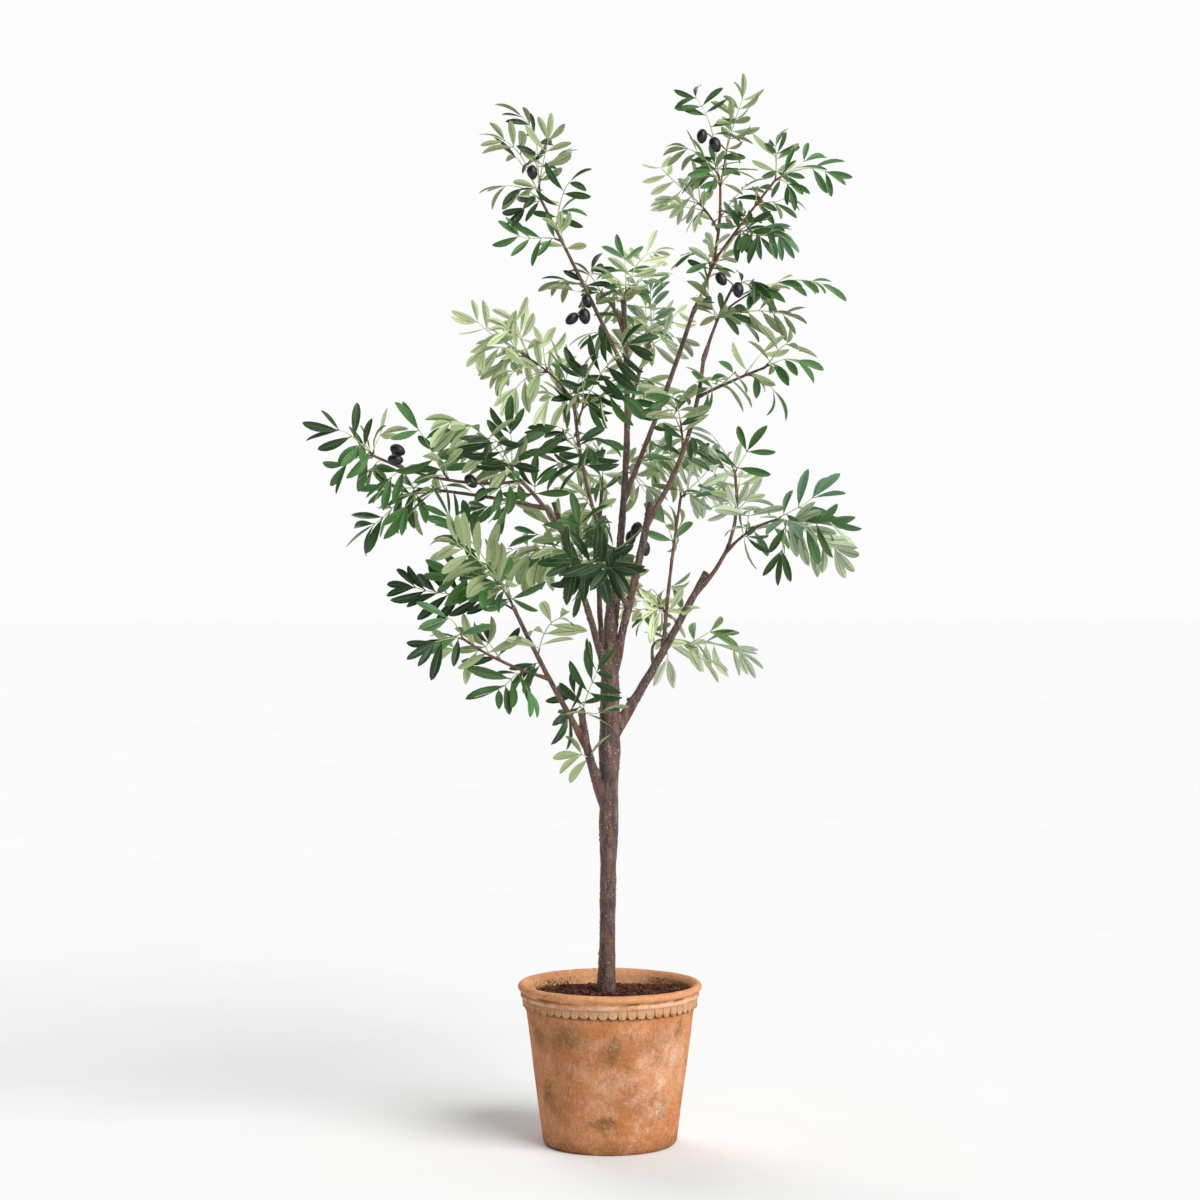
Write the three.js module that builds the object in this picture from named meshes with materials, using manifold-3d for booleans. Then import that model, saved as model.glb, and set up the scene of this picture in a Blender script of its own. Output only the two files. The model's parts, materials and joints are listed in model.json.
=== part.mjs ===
// An artificial olive tree, 2.13 m tall, standing in an aged terracotta pot.
// Units are millimetres, +Z is up, and the origin is the centre of the pot's flat underside.
// The trunk and every limb are tapered tubes, and each spray of foliage is one uneven closed lump,
// cut round the limbs that run into it and round the lumps made before it.

import * as THREE from 'three';
import { mergeVertices } from 'three/addons/utils/BufferGeometryUtils.js';
import Module from 'manifold-3d';

const wasm = await Module();
wasm.setup();

// ---- The pot ----
const POT_HEIGHT = 318;
const FOOT_RADIUS = 122;
const FOOT_ROUNDING = 10;
const WALL_FOOT_RADIUS = 132;
const WALL_TOP_RADIUS = 166.5;
const WALL = 15;
const FLOOR = 20;
const BAND_LOW = 268;
const BAND_RADIUS = 172.5;
const FILLET_LOW = 290;
const FILLET_RADIUS = 176.5;
const ROLL_LOW = 304;
const ROLL_RADIUS = 181.5;
const POT_SIDES = 32;

// ---- The soil in it ----
const SOIL_EDGE = 288;
const SOIL_CROWN = 299.7;
const SOIL_FLAT_RADIUS = 32;

// ---- The tree ----
const TRUNK_FOOT = new THREE.Vector3(-7, 0, 300.1);
const GAP = 0.36;
const SLIVER = 0.04;
const LIMB_SIDES = 6;
const LIMB_RINGS = 5;
const LINE_STEPS = 12;
const BARK_RED = 0x5d463d;
const LEAF_DARK = 0x2c5a37;
const LEAF_PALE = 0xa9bd83;

// The trunk's radius at fractions of its height: root flare, clear stem, the forks, and the sawn top
const TRUNK_GIRTH = [[0, 19.5], [0.035, 16.8], [0.18, 15.8], [0.42, 17.2], [0.6, 16.6], [0.78, 13.5], [1, 9.5]];

// Each limb leaves the limb it is on at a fraction of that one's length. Its heading (degrees from +X
// towards +Y) and its rise above level swing evenly from the first value to the last along its length,
// and its radius falls the same way.
const limb = (on, at, heading, rise, length, radius) => ({ on, at, heading, rise, length, radius });

const LIMBS = {
  trunk: { heading: [0, 0], rise: [89, 90], length: 800, girth: TRUNK_GIRTH, sides: 9, rings: 12 },
  leader: limb('trunk', 0.8, [75, -20], [77, 95], 735, [8, 5.5]),
  low_left_stub: limb('trunk', 0.46, [-173, -142], [61, 86], 205, [10, 7.5]),
  low_left_bough: limb('low_left_stub', 0.64, [-154, -153], [57, 63], 320, [6.5, 4]),
  low_left_side: limb('low_left_bough', 0.48, [-165, -154], [15, 34], 195, [3.6, 2.6]),
  left_bough: limb('trunk', 0.76, [-138, -153], [69, 70], 385, [8, 4.8]),
  left_front_bough: limb('left_bough', 0.83, [-146, -150], [51, 42], 140, [4.5, 3.8]),
  far_left_bough: limb('left_front_bough', 0.96, [-180, -189], [-7, 27], 300, [3.5, 2.6]),
  left_far_bough: limb('left_front_bough', 0.44, [-178, -190], [13, 5], 245, [4, 3]),
  centre_right_bough: limb('trunk', 0.77, [-18, -17], [74, 79], 365, [9, 7]),
  centre_right_upper: limb('centre_right_bough', 0.87, [9, 36], [56, 84], 360, [5.5, 4.2]),
  right_crown_bough: limb('centre_right_upper', 0.97, [17, 4], [73, 62], 160, [3.8, 2.8]),
  upper_right_side: limb('centre_right_upper', 0.76, [-34, -22], [22, 19], 155, [3.4, 2.6]),
  leader_right: limb('leader', 0.46, [26, 27], [65, 70], 420, [5.5, 4.5]),
  top_stem: limb('leader_right', 0.96, [-5, -50], [61, 93], 260, [3.8, 2.8]),
  top_right_stem: limb('top_stem', 0.42, [-16, -22], [53, 49], 205, [3, 2.4]),
  upper_left_bough: limb('leader', 0.79, [-166, -177], [64, 63], 385, [4.8, 3]),
  spur_bough: limb('leader', 0.88, [150, 155], [80, 50], 100, [4.4, 3.8]),
  inner_left_bough: limb('centre_right_bough', 0.4, [-136, -190], [61, 86], 425, [4.8, 3.4]),
  right_bough: limb('trunk', 0.62, [11, 11], [57, 62], 390, [10, 7]),
  right_upper_bough: limb('right_bough', 0.88, [1, 44], [40, 103], 260, [4.8, 3]),
  right_outer_bough: limb('right_upper_bough', 0.38, [-20, -44], [50, 8], 135, [3.2, 2.6]),
  right_back_bough: limb('right_bough', 0.53, [78, 56], [71, 74], 320, [4.4, 2.8]),
  low_back_bough: limb('right_bough', 0.44, [115, 14], [58, -27], 160, [3.6, 2.8]),
  back_bough: limb('trunk', 0.7, [108, 79], [62, 67], 500, [7, 4]),
  high_back_bough: limb('leader', 0.6, [89, 59], [45, 54], 295, [4.6, 3.2]),
};

// Each mass lies along an axis that starts on a limb, at a fraction of its length, and runs off at a
// heading and a rise. It reaches that far ahead of the start and that far back past it.
const mass = (on, at, heading, rise, reach, back, wide, deep, color = LEAF_DARK) =>
  ({ on, at, heading, rise, reach, back, wide, deep, color });

const MASSES = {
  upper_left_tip: mass('upper_left_bough', 1, -160, 76, 215, 30, 205, 150),
  upper_left_mid: mass('upper_left_bough', 0.74, -163, 22, 150, 70, 105, 140),
  upper_left_inner: mass('upper_left_bough', 0.36, 121, 33, 195, 80, 130, 160),
  upper_centre: mass('spur_bough', 1, 31, 45, 195, 40, 130, 160, LEAF_PALE),
  top_tip: mass('top_stem', 1, -90, 88, 248, 50, 215, 160),
  top_left_pale: mass('top_stem', 0.55, 146, 51, 260, 20, 120, 130, LEAF_PALE),
  top_right_outer: mass('top_right_stem', 1, -16, 11, 150, 70, 170, 150),
  top_right_inner: mass('top_right_stem', 0.2, -47, -6, 215, 70, 125, 150),
  upper_right_mid: mass('right_crown_bough', 1, -22, 62, 105, 60, 160, 150),
  right_upper_outer: mass('right_crown_bough', 0.6, 3, 24, 270, 20, 150, 140),
  right_mid_upper: mass('upper_right_side', 1, -41, 13, 130, 120, 160, 150),
  centre_right_front: mass('centre_right_upper', 0.55, -109, 40, 265, 70, 150, 130),
  centre_left_front: mass('inner_left_bough', 0.93, -54, 33, 255, 120, 180, 140),
  mid_left_top: mass('inner_left_bough', 1, 158, 36, 320, 10, 180, 170, LEAF_PALE),
  mid_left: mass('left_front_bough', 1, -160, 41, 220, 30, 170, 150),
  left_upper: mass('far_left_bough', 0.62, -91, 63, 150, 30, 140, 130),
  far_left_upper: mass('far_left_bough', 1, -180, 35, 130, 50, 150, 130),
  far_left_lower: mass('left_far_bough', 1, 160, -33, 180, 40, 140, 150),
  left_mid: mass('left_far_bough', 0.5, -117, -52, 195, 30, 185, 190),
  left_lower: mass('low_left_bough', 1, 174, 11, 235, 120, 140, 150),
  low_left_tip: mass('low_left_side', 1, -162, -17, 105, 50, 90, 110),
  low_left_mid: mass('low_left_side', 0.3, -125, -22, 130, 20, 125, 125),
  low_left_inner: mass('low_left_bough', 0.1, -61, 59, 180, 40, 130, 120),
  front_cluster: mass('left_bough', 0.85, -57, -26, 275, 70, 185, 140),
  right_centre: mass('right_upper_bough', 1, 115, 59, 140, 60, 130, 130),
  right_outer: mass('right_outer_bough', 1, -29, -8, 185, 70, 200, 160),
  right_inner: mass('right_back_bough', 1, 53, 21, 165, 70, 160, 150, LEAF_PALE),
  low_right_back: mass('low_back_bough', 1, 36, -8, 195, 80, 130, 140, LEAF_PALE),
  low_back: mass('right_back_bough', 0.3, 127, -12, 155, 20, 140, 130, LEAF_PALE),
  back_left: mass('back_bough', 0.6, 138, 5, 305, 70, 190, 180, LEAF_PALE),
  back_right: mass('back_bough', 1, 41, 11, 295, 100, 200, 180, LEAF_PALE),
  back_upper: mass('high_back_bough', 1, 81, 41, 195, 140, 210, 180, LEAF_PALE),
};

const LUMP_HEIGHT = 0.2;
const MASS_DETAIL = 1;

// ---- Helpers ----
const { lerp, degToRad } = THREE.MathUtils;
const UP = new THREE.Vector3(0, 0, 1);

function towards(heading, rise) {
  const level = Math.cos(degToRad(rise));
  const turn = degToRad(heading);
  return new THREE.Vector3(level * Math.cos(turn), level * Math.sin(turn), Math.sin(degToRad(rise)));
}

// The value at t in a list of [t, value] pairs, on straight lines between them
function readOff(pairs, t) {
  const after = Math.max(1, pairs.findIndex(([at]) => at >= t));
  const [t0, v0] = pairs[after - 1];
  const [t1, v1] = pairs[after];
  return lerp(v0, v1, (t - t0) / (t1 - t0));
}

// A closed solid from a closed geometry whose vertices are merged by their position
function solidOf(geometry) {
  geometry.deleteAttribute('normal');
  geometry.deleteAttribute('uv');
  const merged = mergeVertices(geometry, 1e-3);
  return new wasm.Manifold(new wasm.Mesh({
    numProp: 3,
    vertProperties: Float32Array.from(merged.attributes.position.array),
    triVerts: Uint32Array.from(merged.index.array),
  }));
}

function geometryOf(solid) {
  const { numProp, vertProperties, triVerts } = solid.getMesh();
  const positions = [];
  for (let i = 0; i < vertProperties.length; i += numProp) {
    positions.push(vertProperties[i], vertProperties[i + 1], vertProperties[i + 2]);
  }
  const geometry = new THREE.BufferGeometry();
  geometry.setAttribute('position', new THREE.Float32BufferAttribute(positions, 3));
  geometry.setIndex(Array.from(triVerts));
  geometry.computeVertexNormals();
  return geometry;
}

// The solid less each of the others that comes near it, keeping only its largest piece
function cutRound(solid, others) {
  let rest = solid;
  for (const other of others) rest = rest.subtract(other);
  const pieces = rest.simplify(SLIVER).decompose();
  pieces.sort((a, b) => b.volume() - a.volume());
  return pieces[0];
}

// ---- Limbs ----
function centreLine(start, { heading, rise, length }) {
  const points = [start.clone()];
  for (let step = 0; step < LINE_STEPS; step++) {
    const t = (step + 0.5) / LINE_STEPS;
    const way = towards(lerp(...heading, t), lerp(...rise, t));
    points.push(points.at(-1).clone().addScaledVector(way, length / LINE_STEPS));
  }
  return new THREE.CatmullRomCurve3(points);
}

// A cylinder bent onto the limb's centre line, with its radius falling from foot to tip
// and the trunk's foot cut level
function limbGeometry({ on, line, heading, radius, girth, sides = LIMB_SIDES, rings = LIMB_RINGS }, extra = 0) {
  const tube = new THREE.CylinderGeometry(1, 1, 1, sides, rings);
  const across = towards(lerp(...heading, 0.5) + 90, 0);
  const place = tube.attributes.position;
  for (let i = 0; i < place.count; i++) {
    const t = place.getY(i) + 0.5;
    const along = on || t > 0 ? line.getTangent(t) : UP;
    const side = across.clone().addScaledVector(along, -across.dot(along)).normalize();
    const front = side.clone().cross(along);
    const reach = (girth ? readOff(girth, t) : lerp(...radius, t)) + extra;
    const point = line.getPoint(t)
      .addScaledVector(side, place.getX(i) * reach)
      .addScaledVector(front, place.getZ(i) * reach)
      .addScaledVector(along, Math.round(2 * t - 1) * extra);
    place.setXYZ(i, ...point.toArray());
  }
  return tube;
}

// ---- Masses ----
// How far the surface of lump number `seed` swells or sinks in the direction d
function swell(d, seed) {
  const broad = Math.sin(3.1 * d.x + 1.7 * seed) * Math.cos(2.6 * d.y - 0.9 * seed);
  const fine = Math.sin(14.3 * d.x + 11.9 * d.y + 17.1 * d.z + 2.3 * seed);
  return 1 + LUMP_HEIGHT * (0.5 * broad + 0.5 * fine);
}

function massGeometry({ line, at, heading, rise, reach, back, wide, deep, seed }, extra = 0) {
  const along = towards(heading, rise);
  const side = Math.abs(rise) > 60 ? towards(0, 0) : towards(heading, rise + 90);
  side.addScaledVector(along, -side.dot(along)).normalize();
  const depth = along.clone().cross(side);
  const middle = line.getPoint(at).addScaledVector(along, (reach - back) / 2);
  const ball = new THREE.IcosahedronGeometry(1, MASS_DETAIL);
  const place = ball.attributes.position;
  const d = new THREE.Vector3();
  for (let i = 0; i < place.count; i++) {
    d.fromBufferAttribute(place, i);
    const size = swell(d, seed);
    const point = middle.clone()
      .addScaledVector(along, d.x * (size * (reach + back) / 2 + extra))
      .addScaledVector(side, d.y * (size * wide / 2 + extra))
      .addScaledVector(depth, d.z * (size * deep / 2 + extra));
    place.setXYZ(i, ...point.toArray());
  }
  return ball;
}

// ---- The pot and its soil ----
const wallInside = (z) => lerp(WALL_FOOT_RADIUS, WALL_TOP_RADIUS, z / BAND_LOW) - WALL;
const turned = (profile) => {
  const points = profile.map(([radius, z]) => new THREE.Vector2(radius, z));
  return new THREE.LatheGeometry(points, POT_SIDES).rotateX(Math.PI / 2);
};

const potProfile = [
  [0, 0], [FOOT_RADIUS, 0], [WALL_FOOT_RADIUS - 3, FOOT_ROUNDING / 2], [WALL_FOOT_RADIUS, FOOT_ROUNDING],
  [WALL_TOP_RADIUS, BAND_LOW], [BAND_RADIUS, BAND_LOW + 2], [BAND_RADIUS, FILLET_LOW], [FILLET_RADIUS, FILLET_LOW + 2],
  [FILLET_RADIUS, ROLL_LOW], [ROLL_RADIUS, ROLL_LOW + 2], [ROLL_RADIUS, POT_HEIGHT - 5], [ROLL_RADIUS - 4, POT_HEIGHT],
  [ROLL_RADIUS - 10, POT_HEIGHT], [ROLL_RADIUS - 15, POT_HEIGHT - 6], [wallInside(SOIL_EDGE), SOIL_EDGE],
  [wallInside(FLOOR), FLOOR], [0, FLOOR],
];

const soilProfile = [
  [0, FLOOR + GAP], [wallInside(FLOOR) - 1, FLOOR + GAP], [wallInside(SOIL_EDGE) - 1, SOIL_EDGE],
  [lerp(SOIL_FLAT_RADIUS, wallInside(SOIL_EDGE), 0.5), lerp(SOIL_EDGE, SOIL_CROWN, 0.75)],
  [SOIL_FLAT_RADIUS, SOIL_CROWN], [0, SOIL_CROWN],
];

// ---- The whole object ----
const tree = new THREE.Group();

function addPiece(name, geometry, color, roughness) {
  const piece = new THREE.Mesh(geometry, new THREE.MeshStandardMaterial({ color, roughness, metalness: 0 }));
  piece.name = name;
  tree.add(piece);
}

addPiece('pot', turned(potProfile), 0xc98a5c, 0.9);
addPiece('potting_soil', turned(soilProfile), 0x3a241d, 0.95);

const madeLimbs = [];
for (const [name, sizes] of Object.entries(LIMBS)) {
  const start = sizes.on ? LIMBS[sizes.on].line.getPoint(sizes.at) : TRUNK_FOOT;
  sizes.line = centreLine(start, sizes);
  const solid = cutRound(solidOf(limbGeometry(sizes)), madeLimbs);
  madeLimbs.push(solidOf(limbGeometry(sizes, GAP)));
  addPiece(name, geometryOf(solid), BARK_RED, 0.85);
}

const madeMasses = [];
for (const [name, sizes] of Object.entries(MASSES)) {
  const placed = { ...sizes, line: LIMBS[sizes.on].line, seed: madeMasses.length };
  const solid = cutRound(solidOf(massGeometry(placed)), [...madeLimbs, ...madeMasses]);
  madeMasses.push(solidOf(massGeometry(placed, GAP)));
  addPiece(name, geometryOf(solid), sizes.color, 0.6);
}

export default tree;
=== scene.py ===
# %% [markdown]
# An artificial olive tree in an aged terracotta pot.
#
# The tree is a made thing: a moulded trunk with sawn bough ends, brown wired twigs, and sprays of printed
# fabric leaves on pale plastic stems, with a few black olives. Every piece is built round a fixed model of
# the same tree, whose limbs are plain tubes and whose foliage is plain lumps. The limbs are measured and
# given bark, and each lump is replaced by twigs and sprays that grow out to its surface.

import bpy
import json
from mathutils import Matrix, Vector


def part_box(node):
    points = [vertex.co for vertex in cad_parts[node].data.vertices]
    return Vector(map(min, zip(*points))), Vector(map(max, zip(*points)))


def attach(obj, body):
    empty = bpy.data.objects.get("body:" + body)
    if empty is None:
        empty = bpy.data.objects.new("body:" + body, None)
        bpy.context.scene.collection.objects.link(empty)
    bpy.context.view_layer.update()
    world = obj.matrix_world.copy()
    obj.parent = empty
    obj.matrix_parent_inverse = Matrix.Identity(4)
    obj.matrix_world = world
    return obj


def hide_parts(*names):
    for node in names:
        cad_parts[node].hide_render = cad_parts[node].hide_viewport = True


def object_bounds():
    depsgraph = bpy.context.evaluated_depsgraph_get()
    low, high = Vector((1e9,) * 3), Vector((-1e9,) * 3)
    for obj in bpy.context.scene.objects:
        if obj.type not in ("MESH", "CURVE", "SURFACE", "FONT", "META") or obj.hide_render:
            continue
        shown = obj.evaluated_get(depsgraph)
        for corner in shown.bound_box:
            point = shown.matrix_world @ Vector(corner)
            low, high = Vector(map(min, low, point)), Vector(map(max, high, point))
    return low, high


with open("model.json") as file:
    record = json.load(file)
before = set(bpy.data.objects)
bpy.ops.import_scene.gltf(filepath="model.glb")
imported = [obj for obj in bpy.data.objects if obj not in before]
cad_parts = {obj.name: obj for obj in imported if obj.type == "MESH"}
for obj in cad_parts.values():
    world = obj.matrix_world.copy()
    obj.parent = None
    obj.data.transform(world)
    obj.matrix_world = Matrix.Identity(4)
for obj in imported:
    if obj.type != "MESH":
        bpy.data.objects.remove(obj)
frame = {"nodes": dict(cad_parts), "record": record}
cad_box = [list(corner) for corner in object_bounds()]

import json
import math
import random
from types import SimpleNamespace

import bpy
import numpy as np
from mathutils import Vector, noise

BODY = "root"
MM = 0.001
SEED = 37
print("nodes:", len(frame["nodes"]), "box:", [[round(v, 3) for v in corner] for corner in cad_box])

# %% [markdown]
# The camera stands five and a half metres in front, a little above the middle of the tree, and looks
# slightly down, so that the inside of the pot's rim just shows. A long lens keeps the pot and the crown in
# proportion. The key light is a sun lamp as wide as a large soft box, high on the right in front, so the
# left of the pot and of the trunk falls off into shade. A weaker one stands behind on the left, for the far
# side. Sun lamps light the whole floor evenly, which keeps it one pale tone up to the horizon.

# %% The camera and the lamps
CAMERA_PLACE = (-0.0197, -5.5, 1.22)
CAMERA_PITCH = math.radians(88.477)
LENS = 83.73
FARTHEST_SEEN = 100

bpy.ops.object.select_all(action="DESELECT")
bpy.ops.object.camera_add(location=CAMERA_PLACE, rotation=(CAMERA_PITCH, 0, 0))
camera = bpy.context.object
camera.data.lens = LENS
camera.data.clip_end = FARTHEST_SEEN
bpy.context.scene.camera = camera
bpy.context.scene.view_settings.view_transform = "Standard"


def soft_sun(name, heading, height, strength, width):
    """A wide sun lamp. It stands `heading` degrees round to the right of the camera, `height` above level."""
    turn, lift = math.radians(heading), math.radians(height)
    source = Vector((math.sin(turn) * math.cos(lift), -math.cos(turn) * math.cos(lift), math.sin(lift)))
    bpy.ops.object.light_add(type="SUN", rotation=source.to_track_quat("Z", "Y").to_euler())
    lamp = bpy.context.object
    lamp.name = name
    lamp.data.energy = strength
    lamp.data.angle = math.radians(width)


soft_sun("key_lamp", heading=44, height=40, strength=3.1, width=42)
soft_sun("far_side_lamp", heading=-155, height=40, strength=1.0, width=40)
print("camera at", CAMERA_PLACE, "with a", LENS, "mm lens")

# %% [markdown]
# Materials are built from nodes. One function adds any node: an input is a plain value, a colour's hex
# code, or another node or socket to link. Patterns are sized from real millimetres, since a noise's scale
# is its features in a metre. Colours are laid over each other like glazes, each as thick as its amounts
# multiplied.

# %% Helpers for materials


def linear(code):
    """A colour written as an sRGB hex code, as the linear values that a shader wants."""
    parts = [int(code[i:i + 2], 16) / 255 for i in (1, 3, 5)]
    return [p / 12.92 if p <= 0.04045 else ((p + 0.055) / 1.055) ** 2.4 for p in parts] + [1.0]


def wire(tree, node, inputs):
    """Sets each named or numbered input of a node to a value or a colour's code, or links it."""
    for name, value in inputs.items():
        usable = [s for s in node.inputs if s.enabled]
        socket = usable[name] if isinstance(name, int) else next(s for s in usable if s.name == name)
        if isinstance(value, bpy.types.Node):
            value = next(s for s in value.outputs if s.enabled)
        if isinstance(value, bpy.types.NodeSocket):
            tree.links.new(value, socket)
        else:
            socket.default_value = linear(value) if isinstance(value, str) else value


def add_node(tree, kind, inputs, **settings):
    made = tree.nodes.new(kind)
    for name, value in settings.items():
        setattr(made, name, value)
    wire(tree, made, inputs)
    return made


def new_material(name, colour, roughness, specular=0.5):
    """A material with its nodes, its shader, whose plain values are set, and the piece's own coordinates."""
    material = bpy.data.materials.new(name)
    material.use_nodes = True
    tree = material.node_tree
    shader = tree.nodes["Principled BSDF"]
    wire(tree, shader, {"Base Color": colour, "Roughness": roughness, "Specular IOR Level": specular})
    place = add_node(tree, "ShaderNodeTexCoord", {}).outputs["Object"]
    return material, tree, shader, place


def product(tree, amount, *others):
    """Amounts multiplied together, so that a mark shows only where all of them let it."""
    for other in others:
        amount = add_node(tree, "ShaderNodeMath", {0: amount, 1: other}, operation="MULTIPLY")
    return amount


def fade(tree, value, low, high):
    """0 where a value is at `low`, 1 where it is at `high`, and a smooth step between."""
    limits = {"Value": value, "From Min": low, "From Max": high}
    return add_node(tree, "ShaderNodeMapRange", limits, interpolation_type="SMOOTHSTEP")


def band(tree, value, near_edge, far_edge):
    """1 between two soft edges. Each is given as the value where it is 0 and the value where it is 1."""
    return product(tree, fade(tree, value, *near_edge), fade(tree, value, *far_edge))


def cloud(tree, place, size, low, high, detail=4, rough=0.55, stretch=(1, 1, 1), shift=(0, 0, 0)):
    """Noise with features of a size in millimetres, faded in from `low` to `high`.

    A stretch under 1 draws it out along that axis. A shift finds another part of the same noise.
    """
    if stretch != (1, 1, 1) or any(shift):
        place = add_node(tree, "ShaderNodeMapping", {"Vector": place, "Scale": stretch, "Location": shift})
    made = add_node(tree, "ShaderNodeTexNoise", {
        "Vector": place, "Scale": 1000 / size, "Detail": detail, "Roughness": rough})
    return fade(tree, made, low, high)


def over(tree, under, colour, *amounts):
    """A colour laid over another, as thick as the amounts multiplied together."""
    layers = {"A": under, "B": colour, "Factor": product(tree, *amounts)}
    return add_node(tree, "ShaderNodeMix", layers, data_type="RGBA")


def relief(tree, *layers):
    """Bumps laid on each other: each is a pattern for the height, and its depth in millimetres."""
    surface = None
    for height, depth in layers:
        inputs = {"Height": height, "Distance": depth * MM, "Strength": 1.0}
        if surface is not None:
            inputs["Normal"] = surface
        surface = add_node(tree, "ShaderNodeBump", inputs)
    return surface


print("helpers for materials ready")

# %% [markdown]
# The floor is a plain matt board. The world is a pale wall round the horizon, in the floor's own tone, so
# that the two run together behind the tree. A dimmer ceiling over it, and a dark flag on the left in front,
# let the key light model the pot.

# %% The floor and the world
FLOOR_SIZE = 60
FLAG_DIRECTION = (-0.85, -0.52, 0.0)
WORLD_STRENGTH = 1.02

bpy.ops.mesh.primitive_plane_add(size=FLOOR_SIZE)
floor = bpy.context.object
floor.name = "studio_floor"
material, tree, shader, place = new_material("white_painted_board", "#e9e9e8", 0.9, 0.1)
wire(tree, shader, {"Base Color": over(tree, "#e9e9e8", "#e7e7e6", cloud(tree, place, 300, 0.3, 0.7))})
floor.data.materials.append(material)

world = bpy.data.worlds.new("pale_studio")
world.use_nodes = True
tree = world.node_tree
direction = add_node(tree, "ShaderNodeTexCoord", {}).outputs["Generated"]
rise = add_node(tree, "ShaderNodeSeparateXYZ", {"Vector": direction}).outputs["Z"]
wall = over(tree, "#a2a3a5", "#fafafa", fade(tree, rise, 0.5, 0.22))
facing_flag = {0: direction, 1: FLAG_DIRECTION}
flag = add_node(tree, "ShaderNodeVectorMath", facing_flag, operation="DOT_PRODUCT").outputs["Value"]
wall = over(tree, wall, "#26272a", fade(tree, flag, 0.15, 0.65), fade(tree, rise, 0.09, 0.24))
wire(tree, tree.nodes["Background"], {"Color": wall, "Strength": WORLD_STRENGTH})
bpy.context.scene.world = world
print("floor and world ready")

# %% [markdown]
# New pieces are modelled with Blender's own tools. Everything is deselected before a primitive is added,
# and a finished piece gets its materials, rides on the one body, and hides the solids that it stands for.
# Natural unevenness is noise: a point is moved along its normal by waves of one size and one height.

# %% Helpers for meshes


def start_piece(name):
    """Names what was just added."""
    piece = bpy.context.object
    piece.name = name
    piece.data.name = name
    return piece


def only(piece):
    bpy.ops.object.select_all(action="DESELECT")
    piece.select_set(True)
    bpy.context.view_layer.objects.active = piece


def add_object(name, data):
    """An object for a mesh or a curve, selected alone."""
    piece = bpy.data.objects.new(name, data)
    bpy.context.collection.objects.link(piece)
    only(piece)
    return piece


def copy_of(pattern):
    """A copy with a mesh of its own."""
    copy = pattern.copy()
    copy.data = pattern.data.copy()
    bpy.context.collection.objects.link(copy)
    return copy


def apply_all(piece):
    """Applies the piece's place, turn and size, then its modifiers in order."""
    only(piece)
    bpy.ops.object.transform_apply(location=True, rotation=True, scale=True)
    for modifier in list(piece.modifiers):
        bpy.ops.object.modifier_apply(modifier=modifier.name)


def join(name, pieces):
    only(pieces[0])
    for piece in pieces:
        piece.select_set(True)
    bpy.ops.object.join()
    return start_piece(name)


def move_points(piece, moved):
    """Moves every point of a mesh by a function of its place and its normal."""
    mesh = piece.data
    places, normals = (np.empty(3 * len(mesh.vertices), np.float32) for _ in range(2))
    mesh.vertices.foreach_get("co", places)
    mesh.vertices.foreach_get("normal", normals)
    pairs = zip(places.reshape(-1, 3), normals.reshape(-1, 3))
    new_places = np.array([moved(Vector(place), Vector(normal)) for place, normal in pairs])
    mesh.vertices.foreach_set("co", new_places.ravel())
    mesh.update()


def waves(place, size, shift=(0, 0, 0)):
    """Noise between -1 and 1 with waves of a size in millimetres. A shift finds another part of it."""
    return noise.noise(place / (size * MM) + Vector(shift))


def roughened(size, height):
    """A move for every point: along its normal, by waves of a size and a height in millimetres."""
    return lambda place, normal: place + normal * waves(place, size) * height * MM


def finish_piece(piece, materials, stands_for=()):
    """Gives a piece its materials and its body, and hides the solids that it stands for."""
    for material in materials:
        piece.data.materials.append(material)
    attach(piece, BODY)
    if stands_for:
        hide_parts(*stands_for)
    triangles = sum(len(face.vertices) - 2 for face in piece.data.polygons)
    low, high = ([round(value, 3) for value in piece.bound_box[corner]] for corner in (0, 6))
    print(piece.name, "triangles:", triangles, "from", low, "to", high)


print("helpers for meshes ready")

# %% [markdown]
# The pot is thrown terracotta: a foot, a tapering wall, a second fillet and a rolled lip. Its profile is
# drawn once, from the foot up the outside, over the lip and down the inside, with arcs for the round
# stretches, and spun round the axis. A potter's wall is never quite true, so every point is then moved in
# or out a little.

# %% The pot's profile
pot_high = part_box("pot")[1]
POT_HEIGHT = pot_high.z
LIP_RADIUS = pot_high.x
FOOT_RADIUS = LIP_RADIUS - 59.5 * MM
WALL_FOOT = LIP_RADIUS - 48.5 * MM
WALL_TOP = LIP_RADIUS - 15 * MM
WALL = 15 * MM
BAND_LOW = POT_HEIGHT - 48 * MM
FILLET_LOW = POT_HEIGHT - 29 * MM
FILLET_RADIUS = LIP_RADIUS - 5 * MM
RING_LOW = FILLET_LOW - 10 * MM
ROLL_LOW = POT_HEIGHT - 15 * MM
POT_SIDES = 200


def arc(centre, radius, start, end, steps):
    """Points on a circle in the profile, between two angles in degrees from straight out."""
    turns = [math.radians(start + (end - start) * i / steps) for i in range(steps + 1)]
    return [(centre[0] + radius * math.cos(t), centre[1] + radius * math.sin(t)) for t in turns]


def straight(start, end, steps):
    """Points between two points, without the first and the last."""
    return [(start[0] + (end[0] - start[0]) * i / steps, start[1] + (end[1] - start[1]) * i / steps)
            for i in range(1, steps)]


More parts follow.
